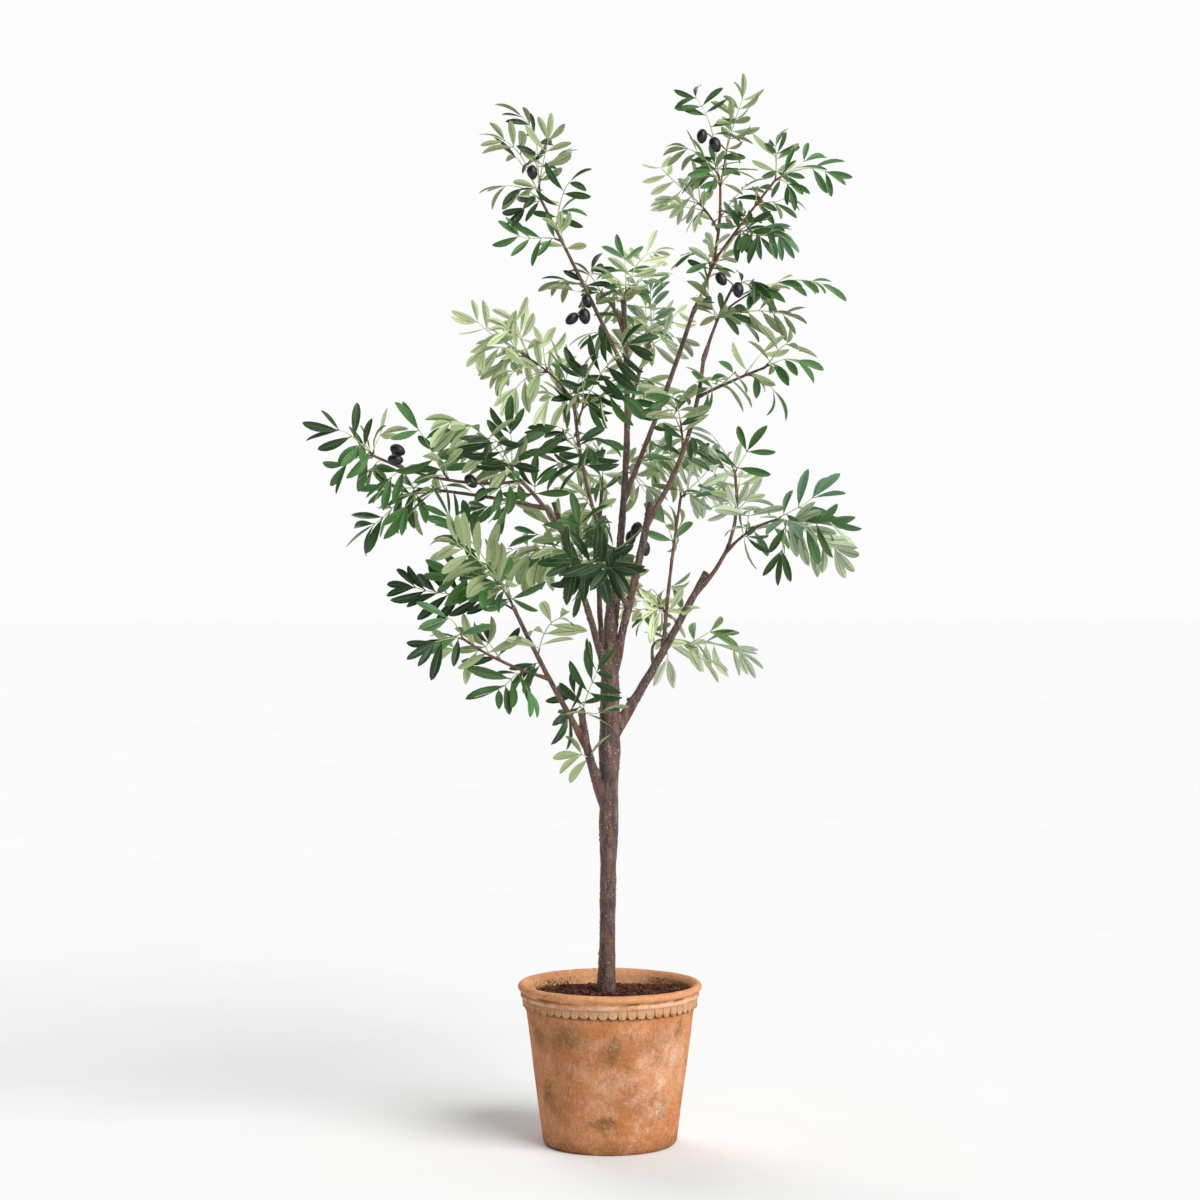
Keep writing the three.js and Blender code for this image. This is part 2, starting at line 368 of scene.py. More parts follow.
foot = arc((WALL_FOOT - 11 * MM, 11.5 * MM), 11.5 * MM, -84, -4, 7)
wall_top = (WALL_TOP, BAND_LOW)
ring_foot = (WALL_TOP + 0.5 * MM, RING_LOW - 1 * MM)
ring_low = (WALL_TOP + 3.7 * MM, RING_LOW)
under_fillet = (WALL_TOP + 4.6 * MM, FILLET_LOW - 1 * MM)
fillet = arc((FILLET_RADIUS - 5.5 * MM, FILLET_LOW + 5.5 * MM), 5.5 * MM, -60, 62, 8)
roll = arc((LIP_RADIUS - 7.5 * MM, POT_HEIGHT - 7.5 * MM), 7.5 * MM, -58, 128, 14)
inner_lip = [(LIP_RADIUS - 17 * MM, POT_HEIGHT - 6 * MM), (LIP_RADIUS - 21 * MM, POT_HEIGHT - 15 * MM)]
inner_top = (WALL_TOP - WALL - 1 * MM, BAND_LOW)
inner_foot = (WALL_FOOT - WALL, 20 * MM)
groove_low = (FILLET_RADIUS - 0.8 * MM, ROLL_LOW - 1 * MM)
profile = [(0, 0), (FOOT_RADIUS * 0.5, 0), (FOOT_RADIUS, 0), *foot,
           *straight(foot[-1], wall_top, 34), wall_top, *straight(wall_top, ring_foot, 4), ring_foot,
           ring_low, *straight(ring_low, under_fillet, 3), under_fillet, *fillet, groove_low, *roll,
           *inner_lip, *straight(inner_lip[-1], inner_top, 6), inner_top,
           *straight(inner_top, inner_foot, 8), inner_foot, (0, inner_foot[1])]

outline = bpy.data.meshes.new("terracotta_pot")
outline.from_pydata([(r, 0, z) for r, z in profile], [(i, i + 1) for i in range(len(profile) - 1)], [])
pot = add_object("terracotta_pot", outline)
bpy.ops.object.mode_set(mode="EDIT")
bpy.ops.mesh.select_all(action="SELECT")
bpy.ops.mesh.spin(steps=POT_SIDES, angle=2 * math.pi, center=(0, 0, 0), axis=(0, 0, 1))
bpy.ops.mesh.select_all(action="SELECT")
bpy.ops.mesh.remove_doubles(threshold=0.01 * MM)
bpy.ops.mesh.normals_make_consistent(inside=False)
bpy.ops.object.mode_set(mode="OBJECT")
print("profile points:", len(profile))

# %% [markdown]
# The unevenness is noise of four sizes: slow waves in the wall, dents as broad as a thumb, fine grit, and
# chips that only reach the lip and the fillet, where a pot is knocked.

# %% The pot made uneven
# Only what stands out this far is chipped, and below this height the wall runs true, down to its flat foot.
KNOCKED_FROM = LIP_RADIUS - 14 * MM
TRUE_FOOT = 12 * MM


def uneven(place, normal):
    """A point of the pot moved along its normal, and not at all on the flat foot."""
    broad = waves(place, 130) * 1.1
    dents = waves(place, 34, (7, 3, 1)) * 0.45
    grit = waves(place, 6) * 0.12
    chips = max(0.0, waves(place, 8, (0, 9, 4)) - 0.36) * 4.5
    edge = 1.0 if place.z > FILLET_LOW and Vector(place.xy).length > KNOCKED_FROM else 0.0
    lifted = min(1.0, place.z / TRUE_FOOT)
    return place + normal * (broad + dents + grit - chips * edge) * lifted * MM


move_points(pot, uneven)
only(pot)
bpy.ops.object.shade_smooth()
print("pot points:", len(pot.data.vertices))

# %% [markdown]
# Under the fillet, on a low ring, hangs a row of pressed tongues, like a scalloped hem. One tongue is
# modelled: a disc whose upper half is drawn up square, with its edges bevelled. The row is copies of it,
# each set a little off at random, and the whole row is roughened.

# %% The scalloped band
TONGUES = 57
TONGUE_PITCH = 2 * math.pi / TONGUES
TONGUE_HALF = 9 * MM
TONGUE_DEPTH = 6.5 * MM
TONGUE_MIDDLE = FILLET_LOW - 8.5 * MM
TONGUE_BACK = WALL_TOP - 0.6 * MM
TONGUE_RISE = 11 * MM
TONGUE_EDGE = 1.3 * MM

bpy.ops.object.select_all(action="DESELECT")
bpy.ops.mesh.primitive_cylinder_add(
    vertices=20, radius=TONGUE_HALF, depth=TONGUE_DEPTH, rotation=(0, math.pi / 2, 0))
tongue = start_piece("tongue")
bpy.ops.object.transform_apply(rotation=True)


def squared(place, normal):
    """The upper half of the disc drawn up to a straight top, hidden under the fillet."""
    if place.z <= 0.1 * MM:
        return place
    across = math.copysign(TONGUE_HALF, place.y) if abs(place.y) > 3 * MM else place.y
    return Vector((place.x, across, TONGUE_RISE))


move_points(tongue, squared)
bevel = tongue.modifiers.new("worn_edge", "BEVEL")
bevel.width = TONGUE_EDGE
bevel.segments = 3
bevel.limit_method = "ANGLE"
apply_all(tongue)

rng = random.Random(5)
tongues = []
for count in range(TONGUES):
    copy = copy_of(tongue)
    turn = count * TONGUE_PITCH
    out = TONGUE_BACK + TONGUE_DEPTH / 2 + rng.uniform(-0.5, 0.4) * MM
    copy.location = (out * math.cos(turn), out * math.sin(turn), TONGUE_MIDDLE + rng.uniform(-0.9, 0.7) * MM)
    copy.rotation_euler = (rng.uniform(-0.09, 0.09), rng.uniform(-0.05, 0.03), turn)
    copy.scale = (1, rng.uniform(0.94, 1.04), rng.uniform(0.94, 1.04))
    tongues.append(copy)
bpy.data.objects.remove(tongue)
scallops = join("scalloped_band", tongues)
apply_all(scallops)
move_points(scallops, roughened(7, 0.5))
only(scallops)
bpy.ops.object.shade_smooth_by_angle(angle=math.radians(60))
print("tongues:", TONGUES)

# %% [markdown]
# Aged terracotta is fired clay with years of watering on it. The body is orange, with pink-white lime bloom
# in large soft patches, broad brown stains, olive-brown smudges where moss has grown, hatched scratches,
# and a cleaner, brighter lip. It has no gloss at all. Noise deals out bloom and dirt all round, and the
# marks that stand out on the front are dabbed on one by one: each dab is a soft ragged spot with its own
# place and size.

# %% Dabs on the wall
# Degrees round from the front, height, half width and half height in mm, and strength.
SMUDGES = [(3, 214, 19, 17, 0.85), (1, 186, 22, 15, 0.75), (-4, 63, 30, 13, 0.95), (-60, 222, 18, 24, 0.8),
           (55, 240, 14, 24, 0.8), (-56, 112, 20, 24, 0.75), (-31, 228, 30, 15, 0.6), (-5, 32, 8, 20, 0.45),
           (47, 88, 11, 30, 0.5), (14, 240, 14, 9, 0.4), (32, 206, 30, 5, 0.45), (112, 190, 34, 30, 0.6),
           (170, 120, 40, 34, 0.6), (205, 220, 26, 22, 0.6), (250, 80, 34, 22, 0.6)]
BLOOMS = [(0, 150, 30, 34, 0.55), (42, 110, 26, 62, 0.8), (50, 190, 22, 44, 0.6), (-10, 222, 60, 14, 0.3),
          (18, 150, 40, 22, 0.4), (-29, 170, 30, 16, 0.3), (-5, 90, 36, 24, 0.4), (62, 190, 16, 60, 0.5),
          (26, 190, 24, 30, 0.45), (24, 104, 34, 50, 0.4), (38, 150, 46, 100, 0.45),
          (140, 90, 50, 50, 0.7), (195, 160, 50, 40, 0.6), (265, 190, 50, 40, 0.6)]
STAINS = [(-32, 226, 62, 34, 0.8), (-38, 130, 26, 90, 0.5), (-2, 120, 17, 100, 0.45), (34, 232, 34, 20, 0.5),
          (2, 206, 32, 26, 0.6), (-52, 100, 22, 34, 0.5), (-4, 60, 34, 16, 0.6), (20, 22, 90, 14, 0.3),
          (130, 210, 60, 34, 0.6), (190, 90, 60, 50, 0.5), (250, 190, 50, 60, 0.5)]
# Where a dab starts and is at full strength, as shares of its half width.
DAB_EDGE = (1.45, 0.3)


def stronger(tree, first, second):
    return add_node(tree, "ShaderNodeMath", {0: first, 1: second}, operation="MAXIMUM")


def dabs(tree, place, marks):
    """Soft spots on the wall, each of its own strength, and the strongest wherever two meet."""
    laid = None
    for degrees, height, half_width, half_height, strength in marks:
        turn = math.radians(degrees)
        radius = WALL_FOOT + (WALL_TOP - WALL_FOOT) * height * MM / BAND_LOW
        centre = (radius * math.sin(turn), -radius * math.cos(turn), height * MM)
        sizes = [half_width * MM, half_width * MM, half_height * MM]
        local = add_node(tree, "ShaderNodeMapping", {
            "Vector": place, "Scale": [1 / size for size in sizes],
            "Location": [-c / size for c, size in zip(centre, sizes)]})
        distance = add_node(tree, "ShaderNodeVectorMath", {0: local}, operation="LENGTH").outputs["Value"]
        spot = product(tree, fade(tree, distance, *DAB_EDGE), strength)
        laid = spot if laid is None else stronger(tree, laid, spot)
    return laid


print("dabs:", len(SMUDGES) + len(BLOOMS) + len(STAINS))

# %% [markdown]
# Marks that follow the pot's form need to know where they are on it: how high, how far from the axis, and
# how far in or out from the line of the wall. A place that noise has pushed about makes the dabs' edges
# ragged.

# %% Where a mark is on the pot
# How far edges are pushed about, and the size of the noise in mm.
RAGGED_BY = 50 * MM
RAGGED_SIZE = 30


def on_the_pot(tree, place):
    """The numbers that marks are placed by."""
    axes = add_node(tree, "ShaderNodeSeparateXYZ", {"Vector": place}).outputs
    flat = add_node(tree, "ShaderNodeCombineXYZ", {"X": axes["X"], "Y": axes["Y"]})
    radius = add_node(tree, "ShaderNodeVectorMath", {0: flat}, operation="LENGTH").outputs["Value"]
    wall = {0: axes["Z"], 1: (WALL_TOP - WALL_FOOT) / BAND_LOW, 2: WALL_FOOT}
    wall_radius = add_node(tree, "ShaderNodeMath", wall, operation="MULTIPLY_ADD")
    out = add_node(tree, "ShaderNodeMath", {0: radius, 1: wall_radius}, operation="SUBTRACT")
    wobble = add_node(tree, "ShaderNodeTexNoise", {
        "Vector": place, "Scale": 1000 / RAGGED_SIZE, "Detail": 3, "Roughness": 0.55}).outputs["Color"]
    centred = add_node(tree, "ShaderNodeVectorMath", {0: wobble, 1: (0.5, 0.5, 0.5)}, operation="SUBTRACT")
    shift = add_node(tree, "ShaderNodeVectorMath", {0: centred, "Scale": RAGGED_BY}, operation="SCALE")
    ragged = add_node(tree, "ShaderNodeVectorMath", {0: place, 1: shift}, operation="ADD")
    return SimpleNamespace(right=axes["X"], height=axes["Z"], radius=radius, out=out, ragged=ragged)


print("wall leans out by", round((WALL_TOP - WALL_FOOT) / MM, 1), "mm")

# %% [markdown]
# First comes what lies all over the clay: clouds of paler and darker clay, painted shade at the foot, sand
# and pits, then the bloom, torn into flakes, and the moss, broken up by slanting scratches.

# %% Weathered clay


def weathered(tree, place, at, clay, on_wall):
    """The clay's weathered colour, with painted shade at the foot. The wall has its dabs as well."""
    colour = over(tree, clay, "#bb7544", cloud(tree, place, 110, 0.42, 0.62, 5))
    colour = over(tree, colour, "#d6a37f", cloud(tree, place, 48, 0.5, 0.7, 7, 0.68, shift=(3, 1, 2)), 0.7)
    colour = over(tree, colour, "#91603b", cloud(tree, place, 90, 0.5, 0.66, 7, 0.68, shift=(2, 7, 4)), 0.5)
    if on_wall:
        patchy = cloud(tree, place, 20, 0.3, 0.56, 7, 0.72)
        colour = over(tree, colour, "#926642", dabs(tree, at.ragged, STAINS), patchy, 0.85)
    # Painted shade: the clay is darkened in patches towards the foot.
    painted_shade_at_foot = fade(tree, at.height, 46 * MM, 4 * MM)
    colour = over(tree, colour, "#8a5834", painted_shade_at_foot, cloud(tree, place, 40, 0.3, 0.6, 5), 0.8)
    colour = over(tree, colour, "#85552f", cloud(tree, place, 7, 0.48, 0.68, 6, 0.75), 0.55)
    sand = cloud(tree, place, 5, 0.52, 0.68, 6, 0.78, stretch=(1, 1, 0.5), shift=(1, 4, 2))
    colour = over(tree, colour, "#e6b996", sand, 0.5)
    pits = cloud(tree, place, 2.6, 0.54, 0.66, 3, 0.7, shift=(4, 1, 6))
    colour = over(tree, colour, "#7d5233", pits, 0.45)

    flakes = cloud(tree, place, 90, 0.56, 0.7, 8, 0.68, stretch=(1, 1, 0.75), shift=(0.4, 2.1, 0.9))
    bloom = product(tree, flakes, 0.35)
    moss = product(tree, cloud(tree, place, 70, 0.62, 0.74, 7, 0.66, shift=(5, 1, 2)), 0.5)
    if on_wall:
        bloom = stronger(tree, bloom, dabs(tree, at.ragged, BLOOMS))
        moss = stronger(tree, moss, dabs(tree, at.ragged, SMUDGES))
    speckle, tears = cloud(tree, place, 5, 0.3, 0.7, 4, 0.7), cloud(tree, place, 34, 0.44, 0.56, 7, 0.7)
    broken = add_node(tree, "ShaderNodeMapRange", {"Value": speckle, "To Min": 0.35, "To Max": 1.0})
    torn = add_node(tree, "ShaderNodeMapRange", {"Value": tears, "To Min": 0.25, "To Max": 1.0})
    colour = over(tree, colour, "#e8c5ab", bloom, torn, broken)
    slanted = add_node(tree, "ShaderNodeVectorRotate", {
        "Vector": place, "Angle": math.radians(50), "Axis": (0, 1, 0)}, rotation_type="AXIS_ANGLE")
    scratches = cloud(tree, slanted, 5.5, 0.42, 0.6, 4, 0.7, stretch=(1, 1, 0.28))
    crossed = cloud(tree, place, 6, 0.47, 0.62, 4, 0.7, stretch=(1, 1, 0.35), shift=(3, 1, 8))
    hatch = stronger(tree, scratches, crossed)
    colour = over(tree, colour, "#5f482c", moss, hatch, 0.85)
    return over(tree, colour, "#866540", moss, torn, 0.55)


print("weathered clay ready")

# %% [markdown]
# The rim is handled and knocked, so it is cleaner than the wall, with stains and pale scuffs on the lip.
# Lime lies on the ring that the scallops hang on and on the fillet. Painted shade darkens the wall under the
# fillet, behind the tongues, and the groove below the lip is darker in broken patches.

# %% The rim's marks
# How far in from the wall's line the outer face fades in.
OUTER_FACE = (-6 * MM, -4 * MM)


def rim_marked(tree, place, at, colour):
    """The clay's colour with marks on the lip, fillet, ring and groove, and painted shade behind the tongues.
    """
    lip = fade(tree, at.height, ROLL_LOW - 2 * MM, ROLL_LOW + 4 * MM)
    colour = over(tree, colour, "#d99b6c", lip, 0.62)
    stains = cloud(tree, place, 30, 0.5, 0.64, 6, 0.7, shift=(9, 2, 6))
    colour = over(tree, colour, "#a06a42", lip, stains, 0.5)
    scuffs = cloud(tree, place, 11, 0.55, 0.68, 5, 0.7, shift=(3, 8, 5))
    colour = over(tree, colour, "#f0cba6", lip, scuffs, 0.5)
    outside = fade(tree, at.out, *OUTER_FACE)
    ring = band(tree, at.height, (RING_LOW - 1 * MM, RING_LOW + 1 * MM),
                (FILLET_LOW + 2 * MM, FILLET_LOW - 1 * MM))
    colour = over(tree, colour, "#c09672", ring, outside, 0.75)
    fillet_face = band(tree, at.height, (FILLET_LOW - 1 * MM, FILLET_LOW + 2 * MM),
                       (ROLL_LOW + 1 * MM, ROLL_LOW - 2 * MM))
    wash = cloud(tree, place, 40, 0.4, 0.58, 7, 0.7, stretch=(1, 1, 2), shift=(6, 6, 1))
    colour = over(tree, colour, "#e2bb9b", fillet_face, wash, 0.7)
    # Painted shade: dark brown on the wall under the fillet, close behind the tongues, and on the tongues'
    # backs.
    painted_shade_near_wall = product(tree, fade(tree, at.radius, WALL_TOP + 4.6 * MM, WALL_TOP + 1.2 * MM), outside)
    under_fillet = band(tree, at.height, (BAND_LOW - 5 * MM, BAND_LOW + 5 * MM),
                        (FILLET_LOW + 4 * MM, FILLET_LOW + 1 * MM))
    colour = over(tree, colour, "#54422c", under_fillet, painted_shade_near_wall, 0.9)
    # The groove below the lip is darkened in broken patches.
    groove = band(tree, at.height, (ROLL_LOW - 5 * MM, ROLL_LOW - 2 * MM),
                  (ROLL_LOW + 2.5 * MM, ROLL_LOW - 0.5 * MM))
    groove_patches = cloud(tree, place, 50, 0.46, 0.6, 5, shift=(2, 3, 1))
    return over(tree, colour, "#5f4930", groove, fade(tree, at.out, -6 * MM, -2 * MM), groove_patches, 0.8)


print("rim's marks ready")

# %% [markdown]
# The inside above the soil is browner, with pale grains in it. Its right side is darkened with painted shade,
# and crumbs of peat stick to it below the lip. Last, the relief: turning rings, lumps and grit, all fractions
# of a millimetre.

# %% Terracotta


def inside_marked(tree, place, at, colour):
    """The clay's colour with what soil has left on the inner wall, and painted shade on its right side."""
    inner = fade(tree, at.out, -5 * MM, -9 * MM)
    soiled_and_shaded = product(tree, inner, fade(tree, at.height, POT_HEIGHT - 8 * MM, POT_HEIGHT - 16 * MM))
    colour = over(tree, colour, "#c98f64", inner, 0.75)
    grains = cloud(tree, place, 4, 0.5, 0.58, 3, 0.7, shift=(5, 5, 1))
    colour = over(tree, colour, "#e0b185", grains, inner, 0.6)
    # Painted shade: the inner wall darkens towards the right, below the lip.
    colour = over(tree, colour, "#6a4027", fade(tree, at.right, 60 * MM, 150 * MM), soiled_and_shaded, 0.65)
    crumbs, patches = cloud(tree, place, 6, 0.47, 0.56, 6, 0.75), cloud(tree, place, 60, 0.4, 0.56, 3)
    return over(tree, colour, "#4a3122", crumbs, patches, soiled_and_shaded, 0.9)


def aged_clay(name, clay, on_wall=True):
    """Terracotta with its bloom, dirt and painted shade. The scallops have none of the wall's dabs and no
    inside.
    """
    material, tree, shader, place = new_material(name, clay, 0.92, 0.2)
    at = on_the_pot(tree, place)
    colour = rim_marked(tree, place, at, weathered(tree, place, at, clay, on_wall))
    if on_wall:
        colour = inside_marked(tree, place, at, colour)
    round_the_pot = add_node(tree, "ShaderNodeMapping", {"Vector": place, "Scale": (0.08, 0.08, 1)})
    rings = add_node(tree, "ShaderNodeTexNoise", {"Vector": round_the_pot, "Scale": 1000 / 9, "Detail": 3})
    lumps, grit = cloud(tree, place, 14, 0.3, 0.7, 5, 0.6), cloud(tree, place, 2.4, 0.25, 0.75, 3)
    surface = relief(tree, (rings, 0.5), (lumps, 0.9), (grit, 0.3))
    wire(tree, shader, {"Base Color": colour, "Normal": surface})
    return material


finish_piece(pot, [aged_clay("aged_terracotta", "#c98a5d")], ["pot"])
finish_piece(scallops, [aged_clay("grimy_shaded_scallop_clay", "#c99c74", on_wall=False)])

# %% [markdown]
# The soil is a low mound, banked a little up the wall on two sides, with shredded bark and coir lying on
# it. The mound is a grid pulled round into a disc, raised by a function of its place, and given a
# thickness.

# %% The soil
SOIL_EDGE = POT_HEIGHT - 30 * MM
SOIL_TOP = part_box("potting_soil")[1].z
SOIL_RADIUS = WALL_TOP - WALL - 0.6 * MM
SOIL_DEPTH = 14 * MM
SOIL_CELLS = 96
# Where soil is banked up the wall: degrees round from the right, and the rise in mm.
BANKS = [(20, 12), (158, 9)]
BANK_SPREAD = 32
BANK_FROM = 0.6


def soil_height(x, y):
    """The height of the mound at a place: a dome, lumps, and banks up the wall on two sides."""
    share = min(1.0, math.hypot(x, y) / SOIL_RADIUS)
    dome = SOIL_EDGE + (SOIL_TOP - SOIL_EDGE) * (1 - share ** 1.6)
    lumps = waves(Vector((x, y, 0)), 26) * 3.2 + waves(Vector((x, y, 1)), 8) * 2.0
    heading = math.degrees(math.atan2(y, x))
    bank = sum(rise * math.exp(-((heading - middle) / BANK_SPREAD) ** 2) for middle, rise in BANKS)
    bank *= max(0.0, share - BANK_FROM) / (1 - BANK_FROM)
    return dome + (lumps * min(1.0, 3 * share) + bank) * MM


def mounded(place, normal):
    """A point of a square grid pulled in to a disc, and raised to the mound's height."""
    widest = max(abs(place.x), abs(place.y))
    pulled = widest / max(math.hypot(place.x, place.y), 1e-9)
    x, y = place.x * pulled, place.y * pulled
    return Vector((x, y, soil_height(x, y)))


bpy.ops.object.select_all(action="DESELECT")
bpy.ops.mesh.primitive_grid_add(x_subdivisions=SOIL_CELLS, y_subdivisions=SOIL_CELLS, size=2 * SOIL_RADIUS)
soil = start_piece("soil_mound")
move_points(soil, mounded)
thickness = soil.modifiers.new("depth", "SOLIDIFY")
thickness.thickness = SOIL_DEPTH
thickness.offset = -1
apply_all(soil)
bpy.ops.object.shade_smooth_by_angle(angle=math.radians(70))
print("mound points:", len(soil.data.vertices))

# %% [markdown]
# Where a small shape is wanted a thousand times or more, it is modelled once and copied by arrays of places
# and turns into one mesh. The shreds are the first: slips bent in the middle, lying at every angle.

# %% Copies by arrays


def copies(name, points, faces, places, turns, face_materials=None):
    """One mesh of a shape repeated, or of many with the same faces. A turn is a matrix with size in it."""
    places, turns = np.asarray(places), np.asarray(turns)
    shapes = np.broadcast_to(points, (len(places), *np.shape(points)[-2:]))
    every_point = (np.einsum("nij,nvj->nvi", turns, shapes) + places[:, None, :]).reshape(-1, 3)
    starts = np.arange(len(places))[:, None, None] * shapes.shape[1]
    every_face = (faces[None] + starts).reshape(-1, faces.shape[1])
    mesh = bpy.data.meshes.new(name)
    mesh.vertices.add(len(every_point))
    mesh.vertices.foreach_set("co", every_point.astype(np.float32).ravel())
    mesh.loops.add(every_face.size)
    mesh.loops.foreach_set("vertex_index", every_face.astype(np.int32).ravel())
    mesh.polygons.add(len(every_face))
    mesh.polygons.foreach_set("loop_start", np.arange(0, every_face.size, faces.shape[1], dtype=np.int32))
    if face_materials is not None:
        mesh.polygons.foreach_set("material_index", np.asarray(face_materials, dtype=np.int32).ravel())
    mesh.update(calc_edges=True)
    return add_object(name, mesh)


def turned(rng, upright):
    """A random turn: any heading, tilted off level by up to `upright`."""
    heading, tilt = rng.uniform(0, 2 * np.pi), rng.uniform(-upright, upright)
    roll = rng.uniform(-np.pi, np.pi)
    along = np.array([np.cos(heading) * np.cos(tilt), np.sin(heading) * np.cos(tilt), np.sin(tilt)])
    level = np.array([-np.sin(heading), np.cos(heading), 0])
    third = np.cross(along, level)
    side = level * np.cos(roll) + third * np.sin(roll)
    return np.stack([along, side, np.cross(along, side)], axis=1)


SHREDS = 2800
SHRED_POINTS = np.array([(x, y, z + bend) for x, bend in ((-0.5, 0), (0, 0.16), (0.5, -0.05))
                         for y, z in ((-0.5, -0.3), (0.5, -0.5), (0.5, 0.4), (-0.4, 0.5))])
SHRED_FACES = np.array([(3, 2, 1, 0), (8, 9, 10, 11)] + [
    (4 * ring + side, 4 * ring + (side + 1) % 4, 4 * ring + 4 + (side + 1) % 4, 4 * ring + 4 + side)
    for ring in (0, 1) for side in range(4)])

rng = np.random.default_rng(11)
places, turns = [], []
for _ in range(SHREDS):
    reach, heading = SOIL_RADIUS * np.sqrt(rng.uniform(0.012, 0.985)), rng.uniform(0, 2 * np.pi)
    x, y = reach * np.cos(heading), reach * np.sin(heading)
    sizes = np.array([rng.uniform(3, 10), rng.uniform(1.2, 3), rng.uniform(0.5, 1.4)]) * MM
    places.append((x, y, soil_height(x, y) + rng.uniform(0.2, 1.8) * MM))
    turns.append(turned(rng, 0.55) * sizes)
kinds = rng.choice(3, size=SHREDS, p=[0.5, 0.32, 0.18])
shreds = copies("soil_shreds", SHRED_POINTS, SHRED_FACES, places, turns, np.repeat(kinds, len(SHRED_FACES)))
print("shreds:", SHREDS)

# %% [markdown]
# Potting soil is peat and composted bark: dark red-brown crumbs with no gloss. The mound's colour is mixed
# from crumbs of three sizes. The shreds are of three kinds, dealt out at random, each a plain colour,
# because a shred is smaller than any pattern on it would be.

# %% Soil materials
material, tree, shader, place = new_material("crumbled_peat", "#40261d", 0.95, 0.15)
colour = over(tree, "#3c2219", "#784a35", cloud(tree, place, 9, 0.35, 0.62, 6, 0.7))
colour = over(tree, colour, "#140d0b", cloud(tree, place, 4, 0.52, 0.66, 3))
colour = over(tree, colour, "#7a4a34", cloud(tree, place, 2.2, 0.62, 0.72, 2), 0.8)
crumbs = relief(tree, (cloud(tree, place, 3, 0.3, 0.7, 5, 0.7), 1.6))
wire(tree, shader, {"Base Color": colour, "Normal": crumbs})
finish_piece(soil, [material], ["potting_soil"])

shred_materials = [new_material(name, colour, 0.9, 0.2)[0] for name, colour in (
    ("dark_bark_shred", "#45291f"), ("red_bark_shred", "#7a4935"), ("black_peat_shred", "#1f1411"))]
finish_piece(shreds, shred_materials)

# %% [markdown]
# A limb in the fixed model is a tube with flat sides. To give it bark, its centre line is wanted. The tube
# is measured the way a tape goes along a branch: from its free end, a plane is laid across it every few
# millimetres, and a circle is fitted to the outline that the plane cuts. Its centre is the next point.

# %% Measuring the limbs
# Each limb and the one it grows from.
GROWS_FROM = {
    "trunk": None, "leader": "trunk", "low_left_stub": "trunk", "low_left_bough": "low_left_stub",
    "low_left_side": "low_left_bough", "left_bough": "trunk", "left_front_bough": "left_bough",
    "far_left_bough": "left_front_bough", "left_far_bough": "left_front_bough", "centre_right_bough": "trunk",
    "centre_right_upper": "centre_right_bough", "right_crown_bough": "centre_right_upper",
    "upper_right_side": "centre_right_upper", "leader_right": "leader", "top_stem": "leader_right",
    "top_right_stem": "top_stem", "upper_left_bough": "leader", "spur_bough": "leader",
    "inner_left_bough": "centre_right_bough", "right_bough": "trunk", "right_upper_bough": "right_bough",
    "right_outer_bough": "right_upper_bough", "right_back_bough": "right_bough",
    "low_back_bough": "right_bough", "back_bough": "trunk", "high_back_bough": "leader"}
MARCH = 4 * MM
CAP_GAP = 10 * MM
FOOT_REACH = 10


def unit(vector):
    return vector / max(np.linalg.norm(vector), 1e-12)


def square_to(way, wished):
    """The direction nearest to the wished one that is square to `way`."""
    return unit(wished - way * (wished @ way))


def fitted_circle(points, edges, at, way, reach):
    """Centre, radius and roundness error of the outline where the plane through `at` cuts the edges."""
    height = (points - at) @ way
    first, last = edges[(height[edges[:, 0]] < 0) != (height[edges[:, 1]] < 0)].T
    share = (height[first] / (height[first] - height[last]))[:, None]
    rim = points[first] + share * (points[last] - points[first])
    rim = rim[np.linalg.norm(rim - at, axis=1) < reach]
    if len(rim) < 6:
        return None
    across = square_to(way, np.array([0.31, 0.87, -0.38]))
    up = np.cross(way, across)
    flat = np.stack([(rim - at) @ across, (rim - at) @ up], axis=1)
    system = np.hstack([2 * flat, np.ones((len(flat), 1))])
    (x, y, rest), *_ = np.linalg.lstsq(system, (flat ** 2).sum(1), rcond=None)
    radius = math.sqrt(max(rest + x * x + y * y, 0))
    error = np.std(np.linalg.norm(flat - (x, y), axis=1)) / max(radius, 1e-9)
    return at + x * across + y * up, radius, error


